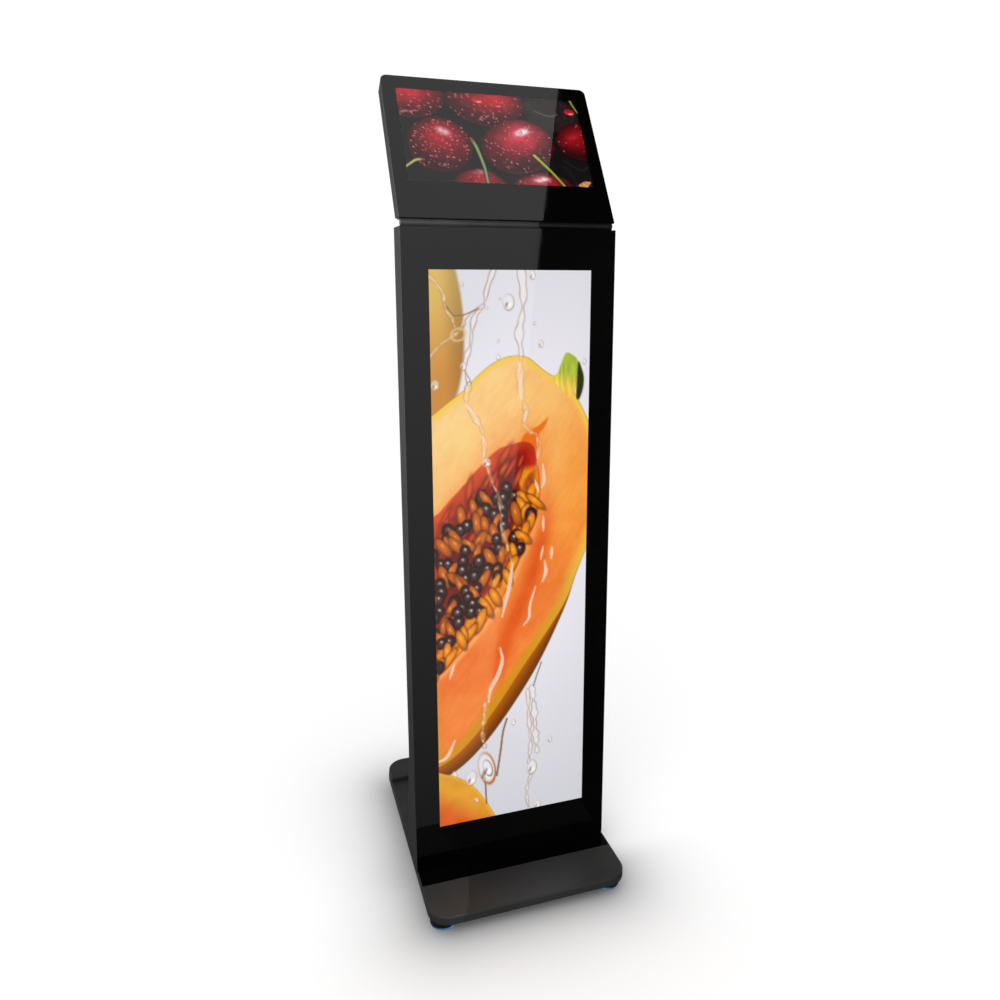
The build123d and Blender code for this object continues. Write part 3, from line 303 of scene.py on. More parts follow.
class Canvas:
    """A picture painted from formulas on a grid of points, u across and v down, in millimetres."""

    def __init__(self, width, height, over, step):
        columns, rows = round((width + 2 * over) / step) + 1, round((height + 2 * over) / step) + 1
        across, down = np.linspace(-over, width + over, columns), np.linspace(-over, height + over, rows)
        self.u, self.v = np.meshgrid(across, down)
        self.soft = 0.6 * step
        self.paint = np.zeros(self.u.shape + (3,))

    def lay(self, colour, share):
        share = np.clip(share, 0.0, 1.0)[..., None]
        self.paint = self.paint * (1 - share) + np.asarray(colour) * share

    def outline(self, points):
        """Signed distance inside a closed smooth outline, positive inside."""
        points = smooth_loop(points)
        far, sign = np.full(self.u.shape, 1e9), np.ones(self.u.shape)
        for (ax, ay), (bx, by) in zip(points, np.roll(points, -1, 0)):
            ex, ey, wx, wy = bx - ax, by - ay, self.u - ax, self.v - ay
            t = np.clip((wx * ex + wy * ey) / (ex * ex + ey * ey + 1e-9), 0, 1)
            far = np.minimum(far, (wx - ex * t) ** 2 + (wy - ey * t) ** 2)
            above, below, side = self.v >= ay, self.v < by, ex * wy > ey * wx
            sign = np.where((above & below & side) | (~above & ~below & ~side), -sign, sign)
        return -sign * np.sqrt(far)

    def oval(self, centre, radii, turn=0.0):
        """Signed distance inside an oval, about right near its edge, and its own two coordinates, which
        run from -1 to 1."""
        c, s = math.cos(math.radians(turn)), math.sin(math.radians(turn))
        x, y = self.u - centre[0], self.v - centre[1]
        a, b = (x * c + y * s) / radii[0], (-x * s + y * c) / radii[1]
        reach = np.sqrt(a * a + b * b)
        return (1 - reach) * min(radii), a, b

    def dab(self, colour, centre, radii, turn=0.0, edge=(-1.0, 1.0), strength=1.0):
        """A plain oval, which fades in over the two distances of edge."""
        self.lay(colour, ramp(self.oval(centre, radii, turn)[0], *edge) * strength)

    def line(self, points):
        """Distance from a smooth open line, and how far along it each point is, from 0 to 1."""
        points = smooth_line(points)
        far, along = np.full(self.u.shape, 1e9), np.zeros(self.u.shape)
        for k, ((ax, ay), (bx, by)) in enumerate(zip(points[:-1], points[1:])):
            ex, ey, wx, wy = bx - ax, by - ay, self.u - ax, self.v - ay
            t = np.clip((wx * ex + wy * ey) / (ex * ex + ey * ey + 1e-9), 0, 1)
            d = (wx - ex * t) ** 2 + (wy - ey * t) ** 2
            along = np.where(d < far, (k + t) / (len(points) - 1), along)
            far = np.minimum(far, d)
        return np.sqrt(far), along

    def fill(self, distance, colour, strength=1.0, soft=None):
        """Lay the colour where distance is positive, with an edge soft to either side."""
        soft = self.soft if soft is None else soft
        self.lay(colour, ramp(distance, -soft, soft) * strength)

    def linear(self):
        """The paint as linear light."""
        shown = np.clip(self.paint, 0.0, 1.0)
        return np.where(shown <= 0.04045, shown / 12.92, ((shown + 0.055) / 1.055) ** 2.4)


def between(a, b, c, d, t):
    """Places at t from 0 to 1 on the smooth curve from b to c, whose neighbours are a and d."""
    return 0.5 * (2 * b + (c - a) * t + (2 * a - 5 * b + 4 * c - d) * t**2 + (3 * b - a - 3 * c + d) * t**3)


def smooth_line(points, steps=6):
    p = np.array(points, float)
    p = np.vstack([2 * p[0] - p[1], p, 2 * p[-1] - p[-2]])
    t = np.linspace(0, 1, steps, endpoint=False)[:, None]
    runs = [between(*four, t) for four in zip(p, p[1:], p[2:], p[3:])]
    return np.vstack(runs + [p[-2:-1]])


def smooth_loop(points, steps=4):
    p = np.array(points, float)
    t = np.linspace(0, 1, steps, endpoint=False)[:, None]
    around = [np.roll(p, k, 0) for k in (1, 0, -1, -2)]
    return np.vstack([between(*four, t) for four in zip(*around)])


def cherry(canvas, centre, radii, turn, deep, bright, light_at, seed, shine):
    """A lit cherry, whose glint lies at light_at in its own coordinates. Gives the distance inside it."""
    inside, a, b = canvas.oval(centre, radii, turn)
    depth = np.sqrt(np.clip(1 - a * a - b * b, 0, 1))
    lit = np.exp(-((a - light_at[0]) ** 2 + (b - light_at[1]) ** 2) / 0.5) * (0.35 + 0.65 * depth)
    streak = lattice(canvas.u + 0.6 * canvas.v, canvas.v - 0.4 * canvas.u, 3.0, seed) - 0.5
    body = shaded(deep, 0.30 + 0.70 * depth) + shaded(bright - deep, np.clip(lit + 0.10 * streak, 0, 1))
    blotch = cloud(canvas.u, canvas.v, 16.0, seed + 7) - 0.5
    body = shaded(body, (0.94 + 0.16 * streak + 0.42 * blotch) * (1 - 0.46 * ramp(b, -0.1, 1.0)))
    canvas.fill(inside, body)
    bounce = np.exp(-((depth - 0.34) / 0.12) ** 2) * ramp(b, 0.2, 0.9)
    canvas.lay(bright * 0.8, bounce * ramp(inside, 0, 2) * 0.28)
    glint = np.exp(-(((a - light_at[0]) / 0.24) ** 2 + ((b - light_at[1]) / 0.13) ** 2) ** 1.5)
    broken = ramp(cloud(canvas.u, canvas.v, 9.0, seed + 3), 0.30, 0.52)
    canvas.lay(rgb(250, 240, 240), glint * shine * (0.45 + 0.55 * broken))
    return inside


def dew(canvas, inside, count, seed, area):
    """Small drops at random places in area (left, right, top, bottom), kept where they lie inside."""
    dice = np.random.default_rng(seed)
    for _ in range(count):
        x, y = dice.uniform(area[0], area[1]), dice.uniform(area[2], area[3])
        size, tilt = dice.uniform(1.0, 2.3), dice.uniform(0, 180)
        drop, _, _ = canvas.oval((x, y), (size * 1.25, size), tilt)
        near = np.abs(drop) < 3 * size
        if not near.any() or inside[np.unravel_index(np.argmax(drop), drop.shape)] < size:
            continue
        canvas.lay(rgb(90, 8, 16), ramp(drop, -0.8, 0.5) * 0.35)
        canvas.dab(rgb(240, 90, 100), (x + 0.3 * size, y + 0.35 * size), (size * 0.7, size * 0.5), tilt,
                   (-0.6, 0.4), 0.55)
        canvas.dab(rgb(240, 190, 196), (x - 0.35 * size, y - 0.35 * size), (size * 0.5, size * 0.42), tilt,
                   (-0.7, 0.3), dice.uniform(0.4, 0.95))


def stem(canvas, points, width, tip, body):
    away, along = canvas.line(points)
    half = 0.5 * width * (1.25 - 0.5 * along)
    edge = away / half
    shade = np.clip(1.15 - 0.65 * edge**2, 0.2, 1.15)
    leaving = ramp(along, 0.0, 0.22)
    canvas.lay(rgb(8, 4, 4), ramp(half + 3.0 - away, 0, 3) * 0.55)
    canvas.fill(half - away, shaded(shaded(tip, 1 - leaving) + shaded(body, leaving), shade))


def dark_table(canvas):
    """Near-black ground with a dim leaf and a few pale scratches of light."""
    u, v = canvas.u, canvas.v
    grain = cloud(u, v, 7.0, 5)
    canvas.lay(rgb(14, 9, 9) + (grain - 0.5)[..., None] * 0.05, np.ones(u.shape))
    leaf, _, _ = canvas.oval((292, 30), (62, 50), 20)
    canvas.lay(rgb(38, 28, 25) + (lattice(u, v, 2.2, 9) - 0.5)[..., None] * 0.09, ramp(leaf, 0, 14) * 0.9)
    for points, tone, width in (
        (((262, 26), (276, 34), (292, 37), (306, 31)), 115, 1.3),
        (((248, 8), (254, 22), (266, 34)), 60, 1.6),
        (((300, 138), (318, 152), (334, 158), (346, 150)), 42, 1.4),
        (((296, 150), (310, 172), (318, 196)), 30, 1.8),
    ):
        away, _ = canvas.line(points)
        canvas.lay(rgb(tone, tone, tone * 1.02), ramp(width - away, -width, width) * 0.75)


def cherries():
    canvas = Canvas(346.6, 199.0, 4.0, 1.15)
    u, v = canvas.u, canvas.v
    dark_table(canvas)
    deep, bright = rgb(112, 8, 18), rgb(226, 38, 58)
    dim_deep, dim_bright = rgb(96, 0, 8), rgb(176, 10, 22)
    # centre, radii, turn, deep and bright colour, place of the light, seed, shine, area of the dew, drops
    for centre, radii, turn, dark, light, light_at, seed, shine, area, count in (
        ((350, 92), (58, 44), -12, dim_deep, dim_bright, (-0.35, -0.30), 11, 0.10, (292, 350, 52, 132), 12),
        ((130, 216), (56, 49), 0, deep, bright, (0.10, -0.92), 12, 0.35, (86, 176, 170, 198), 12),
        ((250, 222), (68, 54), -4, deep, bright, (0.02, -0.72), 13, 0.95, (196, 300, 172, 198), 14),
        ((18, -2), (76, 64), 4, deep, rgb(206, 32, 48), (0.1, 0.16), 14, 0.0, (0, 84, 0, 54), 44),
        ((166, 8), (76, 64), 4, deep, rgb(192, 28, 42), (0.30, -0.05), 15, 0.0, (96, 236, 0, 64), 74),
        ((68, 116), (60, 61), 28, deep, rgb(196, 30, 44), (-0.10, -0.50), 16, 0.75, (16, 122, 62, 168), 130),
        ((215, 112), (74, 60), -24, deep, rgb(250, 62, 88), (0.34, -0.42), 17, 1.0, (152, 282, 62, 168), 96),
    ):
        canvas.dab(rgb(5, 2, 2), (centre[0] - 2, centre[1] + 4), (radii[0] + 7, radii[1] + 6), turn,
                   (0, 12), 0.7)
        inside = cherry(canvas, centre, radii, turn, dark, light, light_at, seed, shine)
        dew(canvas, inside, count, seed + 40, area)
    torn = ramp(lattice(u, v, 2.6, 71), 0.25, 0.6)
    for centre, radii, turn, strength in (
        ((14, 47), (15, 5), -8, 0.55),
        ((158, 50), (17, 5), -32, 0.6),
        ((66, 160), (10, 4.5), 8, 0.5),
        ((190, 158), (10, 3.6), -8, 0.5),
    ):
        canvas.dab(rgb(226, 178, 178), centre, radii, turn, (-1, 3), torn * strength)
    canvas.dab(rgb(48, 4, 8), (248, 136), (19, 9), 24, (-2, 7), 0.75)
    for (x, y), size in (((152, 10), 9.5), ((190, 19), 6.0), ((332, 24), 9.0)):
        drop, _, b = canvas.oval((x, y), (size * 1.15, size * 0.8), 12)
        canvas.lay(shaded(rgb(216, 34, 40), 0.75 + 0.35 * ramp(b, -0.6, 0.9)), ramp(drop, -0.8, 0.8) * 0.95)
        canvas.dab(rgb(250, 170, 170), (x + 0.3 * size, y + 0.45 * size), (size * 0.6, size * 0.22), -12,
                   (-0.6, 0.8), 0.8)
    for points, width, tip, body in (
        (((127, 99), (134, 116), (140, 142), (144, 168), (145, 204)), 6.4,
         rgb(120, 62, 42), rgb(122, 146, 92)),
        (((243, 130), (256, 146), (270, 164), (283, 183), (297, 206)), 6.2,
         rgb(176, 158, 92), rgb(146, 158, 44)),
        (((34, 150), (20, 152), (8, 161), (-6, 172)), 5.6, rgb(120, 52, 40), rgb(166, 164, 92)),
        (((338, -6), (342, 8), (350, 26)), 4.6, rgb(150, 130, 50), rgb(140, 130, 44)),
    ):
        stem(canvas, points, width, tip, body)
    crumb, _, _ = canvas.oval((330, 191), (14, 6.5), -24)
    crisp = lattice(u, v, 3.2, 33)
    canvas.lay(shaded(rgb(214, 150, 84), 0.55 + 0.65 * crisp), ramp(crumb + 3 * (crisp - 0.5), -0.5, 1.2))
    return canvas


def glaze(canvas, points, width, on_fruit, strength):
    """A trickle of water: pale where it lies on the fruit, and a thin outline where it falls free."""
    away, along = canvas.line(points)
    half = width * (0.75 + 0.35 * np.sin(along * 19.0) + 0.2 * np.sin(along * 47.0))
    inner = ramp(half - away, -0.5, 0.9)
    canvas.lay(rgb(255, 214, 184), inner * on_fruit * 0.42 * strength)
    canvas.lay(rgb(246, 240, 240), inner * (1 - on_fruit) * 0.45 * strength)
    ring = np.exp(-(((away - half) / 1.15) ** 2)) * (0.45 + 0.55 * lattice(canvas.u, canvas.v, 14.0, 61))
    canvas.lay(rgb(150, 112, 74), ring * (0.80 - 0.42 * on_fruit) * strength)
    streak, _ = canvas.line(np.array(points, float) + (-0.35 * width, 0.0))
    gleam = np.exp(-((streak / (0.28 * width)) ** 2)) * ramp(np.sin(along * 31.0), 0.1, 0.8)
    canvas.lay(rgb(255, 236, 224), gleam * on_fruit * 0.8 * strength)


def bubble(canvas, centre, radii, turn=0.0, rim=rgb(176, 140, 104), weight=0.8):
    """A clear drop with a coloured rim, a pale glow to the lower right and a dark fleck to the lower left."""
    (x, y), (wide, tall) = centre, radii
    inside, a, b = canvas.oval(centre, radii, turn)
    ring = np.exp(-(((inside - 0.6) / max(0.8, 0.11 * min(radii))) ** 2))
    canvas.lay(rgb(240, 238, 242), ramp(inside, -0.5, 1.5) * 0.55)
    canvas.lay(rim, ring * weight * (0.6 + 0.4 * np.clip(a * 0.7 + b * 0.7, -1, 1)))
    canvas.dab(rgb(255, 252, 248), (x + 0.3 * wide, y + 0.35 * tall), (wide * 0.4, tall * 0.3), 0.0,
               (-0.8, 0.8), 0.8)
    if min(radii) > 4.5:
        canvas.dab(rgb(96, 72, 58), (x - 0.35 * wide, y + 0.3 * tall), (wide * 0.2, tall * 0.32), 20,
                   (-0.8, 0.6), 0.55)


def nearest(canvas, x, y):
    """The grid point nearest to a place, as an index."""
    away = (canvas.u - x) ** 2 + (canvas.v - y) ** 2
    return np.unravel_index(np.argmin(away), away.shape)


def pulp_strand(canvas, x, y, pulp, luck):
    turn = -60 + 100 * luck[3]
    strand, a, b = canvas.oval((x, y), (6.5 + 3 * luck[1], 17 + 9 * luck[2]), turn)
    canvas.lay(rgb(84, 22, 8), ramp(strand + 2.2, -1, 2.2) * 0.5)
    shade = np.clip(1.05 - 0.35 * (a * a + b * b) - 0.10 * b, 0.3, 1.1)
    tone = rgb(248, 146, 24) if pulp > 0.4 else rgb(206, 106, 26)
    canvas.lay(shaded(tone, shade), ramp(strand, -0.6, 1.0))
    canvas.dab(rgb(255, 206, 110), (x - 2, y - 5), (2.0, 4.6), turn, (-1, 1.2), 0.45)


def dark_seed(canvas, x, y, luck):
    size, turn = 9.2 + 2.4 * luck[1], -25 + 60 * luck[3]
    canvas.dab(rgb(66, 16, 8), (x, y), (size + 2.4, size * 1.25 + 2.6), turn, (-1.2, 2.0), 0.62)
    seed, a, b = canvas.oval((x, y), (size, size * 1.25), turn)
    shade = np.clip(1.3 - 1.1 * (a * a + b * b), 0.0, 1.3)
    canvas.lay(shaded(rgb(58, 36, 30), shade) + rgb(10, 6, 6), ramp(seed, -0.6, 0.8))
    canvas.dab(rgb(120, 98, 92), (x - 1.0, y - 2.6), (size * 0.62, size * 0.6), 0.0, (0, 3.5), 0.45)
    canvas.dab(rgb(226, 232, 240), (x + 0.5 * luck[4], y - 3.2), (2.3, 2.8), 0.0, (-0.6, 1.4),
               0.55 + 0.4 * luck[4])


def seed_heap(canvas, cavity, ridge):
    """Fibres on the wall of the hollow, then seeds with pulp between them, nearer ones over farther ones."""
    dice = np.random.default_rng(23)
    for _ in range(70):
        x, y, luck = dice.uniform(20, 190), dice.uniform(330, 540), dice.uniform(0, 1, 3)
        if cavity[nearest(canvas, x, y)] > 7:
            strand, a, b = canvas.oval((x, y), (3.2 + 3 * luck[0], 13 + 12 * luck[1]), 6 + 34 * luck[2])
            canvas.lay(rgb(96, 16, 10), ramp(strand + 2.5, -1.5, 2.5) * 0.30)
            shade = np.clip(1.1 - 0.45 * (a * a + b * b), 0.3, 1.1)
            canvas.lay(shaded(rgb(224, 92, 38), shade), ramp(strand, -1, 2) * 0.62)
    heap = []
    for row in np.arange(378, 764, 17.5):
        for column in np.arange(-6, 210, 18.0):
            x, y = column + dice.uniform(-8, 8), row + dice.uniform(-7, 7)
            where = nearest(canvas, x, y)
            if cavity[where] > 5 and y > 396 + 0.95 * max(0.0, 104 - x):
                heap.append((y, x, ridge[where], dice.uniform(0, 1, 5)))
    for y, x, pulp, luck in sorted(heap, key=lambda item: item[0]):
        if luck[0] < (0.72 if pulp > 0.5 else 0.34):
            pulp_strand(canvas, x, y, pulp, luck)
        if 0.36 + 0.24 * pulp <= luck[0] < 0.83:
            dark_seed(canvas, x, y, luck)


def far_fruit(canvas):
    """The pale ground and the dim fruit at the upper left. Gives the distance inside that fruit."""
    u, v = canvas.u, canvas.v
    glow = ramp(np.hypot((u - 190) / 1.2, (v - 420) / 2.4), 330, 40)
    canvas.lay(blend(rgb(214, 214, 221), rgb(243, 239, 247), glow), np.ones(u.shape))
    inside, a, _ = canvas.oval((-4, 92), (66, 178), -3)
    tone = blend(rgb(214, 176, 92), rgb(196, 132, 52), ramp(v + 0.6 * u, 20, 230))
    canvas.lay(shaded(tone, 1.06 - 0.20 * ramp(a, 0.3, 1.0)), ramp(inside, -3.5, 3.5))
    return inside


def cut_face(canvas, skin, hollow):
    """Peel, its gold edge and the flesh of the cut half, from the outlines of the half and of its hollow."""
    u, v = canvas.u, canvas.v
    flank, band = 1.6 + 26.4 * ramp(v, 600, 790), 15.0 + 17.0 * ramp(v, 330, 640)
    peel = blend(rgb(214, 180, 40), rgb(164, 84, 8), ramp(v, 520, 660))
    canvas.fill(skin, shaded(peel, 0.70 + 0.42 * ramp(skin, 0.0, flank * 1.1)))
    face = skin - flank
    canvas.fill(face, blend(rgb(250, 206, 84), rgb(214, 150, 26), ramp(v, 420, 800)), soft=1.6)
    flesh = blend(rgb(254, 208, 134), rgb(252, 154, 58), ramp(0.55 * u + 0.45 * v, 110, 400))
    canvas.lay(blend(flesh, rgb(245, 126, 54), ramp(v, 430, 640) * 0.85), ramp(face, 1.0, band))
    near_hollow = np.exp(-np.clip(-hollow, 0, 200) / 26.0)
    canvas.lay(rgb(246, 130, 60), near_hollow * ramp(face, 4, band + 6) * 0.62 * ramp(u + v, 300, 560))
    fold, _ = canvas.line([(226, 380), (224, 450), (206, 520), (190, 580), (160, 650), (138, 700),
                           (122, 770)])
    crease = np.exp(-((fold / 17.0) ** 2)) * ramp(v, 380, 520)
    canvas.lay(rgb(226, 78, 18), crease * 0.75 * ramp(face, 6, 30))
    fibres = lattice(u * 0.8 + v * 0.6, (v - u) * 0.16, 3.2, 21) - 0.5
    canvas.paint += shaded(rgb(255, 220, 150), fibres * 0.035 * ramp(face, 3, 12))
    patches = cloud(u, v, 60.0, 31) - 0.5
    canvas.paint += shaded(np.array([0.35, 1.0, 0.8]), patches * 0.14 * ramp(face, 6, 30))


def seed_hollow(canvas, hollow):
    """The split above the hollow, its rim and wall, and the heap of seeds in it."""
    u, v = canvas.u, canvas.v
    split = canvas.outline([(172, 302), (186, 290), (204, 282), (222, 268), (214, 288), (204, 300),
                            (206, 322), (190, 328), (170, 318)])
    canvas.fill(split, rgb(240, 108, 16), 0.9, 2.5)
    rim = np.exp(-((hollow + 5.0) / 5.0) ** 2) * ramp(v, 300, 420)
    canvas.lay(rgb(255, 178, 96), rim * 0.8 * ramp(u - 0.2 * v, 160, 20))
    wall = blend(rgb(214, 76, 32), rgb(122, 28, 16), ramp(hollow, 0, 60))
    red = np.exp(-(((u - 178) / 22) ** 2 + ((v - 345) / 28) ** 2)) * 0.9
    wall = shaded(blend(wall, rgb(176, 14, 2), red), 0.86 + 0.28 * cloud(u + v, v - u, 26.0, 41))
    canvas.fill(hollow + 1.5 * (lattice(u, v, 7.0, 43) - 0.5), wall, soft=1.6)
    ridge, _ = canvas.line([(186, 376), (188, 430), (176, 480), (160, 524), (140, 572), (112, 622), (80, 664),
                            (44, 704), (0, 742)])
    ragged = ramp(ridge + 9 * (lattice(u, v, 10.0, 53) - 0.5), 27, 19)
    canvas.lay(shaded(rgb(250, 148, 22), 0.82 + 0.34 * cloud(u, v, 15.0, 51)),
               ragged * ramp(hollow, 0.5, 3) * ramp(v, 352, 372))
    seed_heap(canvas, hollow, ramp(ridge, 30, 8))


def stalk_end(canvas):
    u, v = canvas.u, canvas.v
    stalk = canvas.outline([(232, 194), (241, 184), (247, 168), (253, 154), (259, 148), (270, 153),
                            (280, 163), (286, 186), (284, 214), (279, 240), (266, 236), (244, 214)])
    green = blend(rgb(168, 186, 58), rgb(246, 206, 84), ramp(v + 0.25 * (280 - u), 178, 226))
    canvas.lay(shaded(green, 0.9 + 0.26 * lattice(u * 2.5, v * 0.4, 9.0, 57)),
               ramp(stalk, -1.4, 1.4) * ramp(v, 246, 206))
    dark_side = canvas.outline([(281, 166), (288, 178), (293, 196), (291, 218), (284, 236), (278, 232),
                                (279, 206)])
    canvas.fill(dark_side, rgb(44, 52, 12), soft=1.8)


def low_slice(canvas):
    """The slice that rises at the lower left. Gives the distance inside it."""
    u, v = canvas.u, canvas.v
    inside = canvas.outline([(-30, 962), (16, 966), (48, 982), (74, 1006), (96, 1040), (116, 1078),
                             (124, 1100), (-30, 1100)])
    tone = blend(rgb(228, 158, 44), rgb(222, 98, 30), ramp(v - 0.7 * u, 985, 1050))
    canvas.fill(inside, shaded(tone, 0.94 + 0.14 * cloud(u, v, 22.0, 63)), soft=1.4)
    canvas.lay(rgb(244, 186, 76), np.exp(-((inside - 3.5) / 2.6) ** 2) * 0.55)
    return inside


def water(canvas, fruit):
    """Trickles, dark threads, gleams and drops, in that order. fruit is 1 on the fruit and 0 beside it."""
    for points, width, weight in (
        (((120, -6), (106, 30), (99, 60), (84, 78), (77, 104), (74, 132), (66, 152), (63, 172), (71, 200)),
         4.2, 1.0),
        (((71, 200), (65, 226), (74, 252), (90, 276), (98, 302), (98, 328), (101, 346)), 5.0, 1.0),
        (((104, 352), (112, 382), (124, 408), (129, 440), (131, 474), (142, 508), (150, 540)), 3.4, 0.9),
        (((168, -6), (173, 40), (171, 78), (165, 112), (169, 150), (167, 186), (170, 222), (180, 254)),
         7.0, 1.0),
        (((180, 254), (176, 276), (186, 292), (200, 300), (204, 330), (200, 362)), 4.6, 0.8),
        (((-6, 6), (14, 22), (27, 44), (30, 66), (42, 84), (46, 98)), 3.4, 1.0),
        (((-6, 158), (12, 136), (36, 118), (52, 108), (60, 96), (66, 80), (98, 62)), 3.6, 1.0),
        (((192, 808), (197, 850), (200, 905), (204, 950)), 6.0, 0.9),
        (((184, 812), (186, 868), (190, 930), (186, 972)), 3.6, 0.8),
        (((191, 1002), (184, 1024), (182, 1046), (187, 1080)), 3.0, 0.8),
        (((96, 826), (94, 858), (90, 890), (94, 920)), 4.4, 1.0),
    ):
        glaze(canvas, points, width, fruit, weight)
    brown = rgb(120, 74, 38)
    for points, width, tone in (
        (((140, 868), (132, 896), (127, 935), (119, 988)), 2.0, brown),
        (((94, 988), (96, 1020), (97, 1046)), 1.6, brown),
        (((212, 758), (202, 786), (196, 806)), 1.3, rgb(96, 84, 74)),
        (((32, 62), (44, 78), (64, 77), (90, 66)), 1.0, rgb(120, 100, 80)),
    ):
        away, _ = canvas.line(points)
        canvas.lay(tone, ramp(width - away, -0.9, 0.9) * 0.8)
    for points, width in (
        (((152, 546), (146, 590), (131, 652)), 4.2), (((217, 548), (220, 570), (213, 590)), 3.6),
        (((199, 598), (188, 634), (186, 660), (174, 676)), 3.0),
        (((127, 716), (131, 742), (122, 772), (107, 800), (103, 826)), 4.4),
        (((36, 735), (26, 764)), 2.6), (((-4, 937), (18, 928), (34, 896)), 3.6),
        (((212, 356), (215, 388), (210, 402)), 3.2), (((197, 386), (204, 410)), 3.0),
        (((214, 458), (214, 488)), 2.8), (((232, 520), (231, 545)), 3.0), (((214, 518), (209, 545)), 2.4),
        (((66, 236), (88, 268)), 2.4), (((168, 186), (167, 214)), 3.2), (((180, 256), (174, 272)), 2.6),
    ):
        away, along = canvas.line(points)
        half = width * (0.35 + 0.65 * np.sin(np.pi * np.clip(along, 0.04, 0.96)))
        canvas.lay(rgb(255, 218, 200), ramp(half - away, -0.8, 1.0) * 0.88)
    for centre, radii, turn in (
        ((145, 56), (11, 15), 0), ((190, 8), (6, 9), 0), ((207, 131), (5, 7.5), 0),
        ((125, 153), (4.2, 5.4), 0), ((125, 124), (3, 3.6), 0), ((104, 66), (3.4, 3.2), 0),
        ((60, 168), (6, 8), 10), ((102, 346), (9, 9), 0), ((194, 94), (3, 3.6), 0),
        ((154, 878), (4.4, 7), 0), ((231, 929), (5, 7.6), 0), ((193, 984), (10.5, 16.5), 4),
        ((293, 165), (4, 6), 0), ((60, 25), (3, 4), 0), ((8, 200), (8, 10), 20),
        ((205, 1072), (7, 10), 30), ((76, 1034), (5, 6), 0), ((129, 50), (2.6, 3.2), 0),
    ):
        bubble(canvas, centre, radii, turn)
    splash, _, _ = canvas.oval((52, 112), (15, 12), -20)
    canvas.lay(rgb(226, 196, 140), np.exp(-((splash - 1.5) / 2.0) ** 2) * 0.9)
    bubble(canvas, (98, 968), (17, 36), -12, rgb(178, 92, 34), 1.0)
    bubble(canvas, (100, 968), (9, 20), -16, rgb(110, 82, 66), 0.9)
    bubble(canvas, (66, 984), (11, 17), 14, rgb(190, 130, 70), 0.7)
    bubble(canvas, (33, 968), (4.5, 8), -30, rgb(224, 140, 70), 0.7)


def papaya():
    canvas = Canvas(301.4, 1073.6, 4.0, 1.8)
    behind = far_fruit(canvas)
    skin = canvas.outline([(-40, 282), (0, 255), (32, 231), (62, 210), (86, 186), (110, 167), (135, 155),
                           (160, 151), (182, 155), (202, 170), (220, 184), (236, 192), (256, 198), (276, 226),
                           (296, 262), (312, 300), (323, 350), (326, 410), (321, 470), (310, 515), (297, 548),
                           (281, 588), (266, 634), (244, 684), (219, 735), (193, 781), (163, 826), (132, 868),
                           (100, 907), (64, 942), (28, 966), (-10, 979), (-40, 983)])
    hollow = canvas.outline([(176, 311), (146, 316), (120, 325), (98, 345), (76, 366), (54, 390), (32, 412),
                             (12, 434), (-14, 462), (-24, 600), (-24, 770), (0, 757), (24, 738), (48, 714),
                             (72, 688), (96, 660), (118, 632), (138, 602), (152, 572), (164, 540), (178, 512),
                             (192, 480), (202, 448), (207, 415), (205, 380), (200, 348), (194, 322)])
    cut_face(canvas, skin, hollow)
    seed_hollow(canvas, hollow)
    stalk_end(canvas)
    fruit = np.maximum(ramp(skin, -1, 1), ramp(behind, -1, 1) * 0.8)
    in_slice = low_slice(canvas)
    water(canvas, np.maximum(fruit, ramp(in_slice, -1, 1)))
    return canvas


def display_picture(name, canvas, origin, down, body):
    """The picture as a fine sheet. origin is where u and v are 0, and down is the way v runs."""
    rows, columns = canvas.u.shape
    places = origin + canvas.u[..., None] * MM * ACROSS + canvas.v[..., None] * MM * down
    corner = np.arange(rows * columns).reshape(rows, columns)
    faces = np.stack([corner[:-1, :-1], corner[1:, :-1], corner[1:, 1:], corner[:-1, 1:]], -1).reshape(-1, 4)
    mesh = bpy.data.meshes.new(name)
    mesh.from_pydata(places.reshape(-1, 3).tolist(), [], faces.tolist())
    shades = mesh.attributes.new("picture", "FLOAT_COLOR", "POINT")
    colours = np.concatenate([canvas.linear().reshape(-1, 3), np.ones((rows * columns, 1))], 1)
    shades.data.foreach_set("color", colours.astype(np.float32).ravel())
    look = Look(name)
    shown = look.add("Attribute", {"attribute_name": "picture"}).outputs["Color"]
    lit = look.mix(look.span(look.noise(3.0, 2.0), 0.2, 0.8, 0.0, 0.06), shown, (0.0, 0.0, 0.0, 1.0))
    look.set(Base_Color=(0.004, 0.004, 0.005, 1.0), Emission_Color=lit, Emission_Strength=1.0,
             Roughness=look.span(look.noise(1200.0, 1.0), 0.3, 0.7, 0.40, 0.5), Specular_IOR_Level=0.0)
    mesh.materials.append(look.material)
    piece = bpy.data.objects.new(name, mesh)
    bpy.context.scene.collection.objects.link(piece)
    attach(piece, body)


# ---------------------------------------------------------------- where things are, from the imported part
ACROSS = np.array([1.0, 0.0, 0.0])
UP = np.array([0.0, 0.0, 1.0])
FORWARD = np.array([0.0, -1.0, 0.0])
PLATE_LAP = 4.0 * MM
PICTURE_GAP = 0.3 * MM


def tilt_axes():
    """The head's own upward axis and outward normal, from the spread of its glass's points."""
    corners = np.array([v.co for v in frame["nodes"]["head_glass"].data.vertices])
    spread = corners - corners.mean(0)
    _, ways = np.linalg.eigh(spread.T @ spread)
    normal, up = ways[:, 0], ways[:, 1]
    return up * np.sign(up[2]), normal * -np.sign(normal[1])


def reach(node, way):
    """How far a node goes along a direction: (least, most)."""
    along = np.array([v.co for v in frame["nodes"][node].data.vertices]) @ way
    return along.min(), along.max()


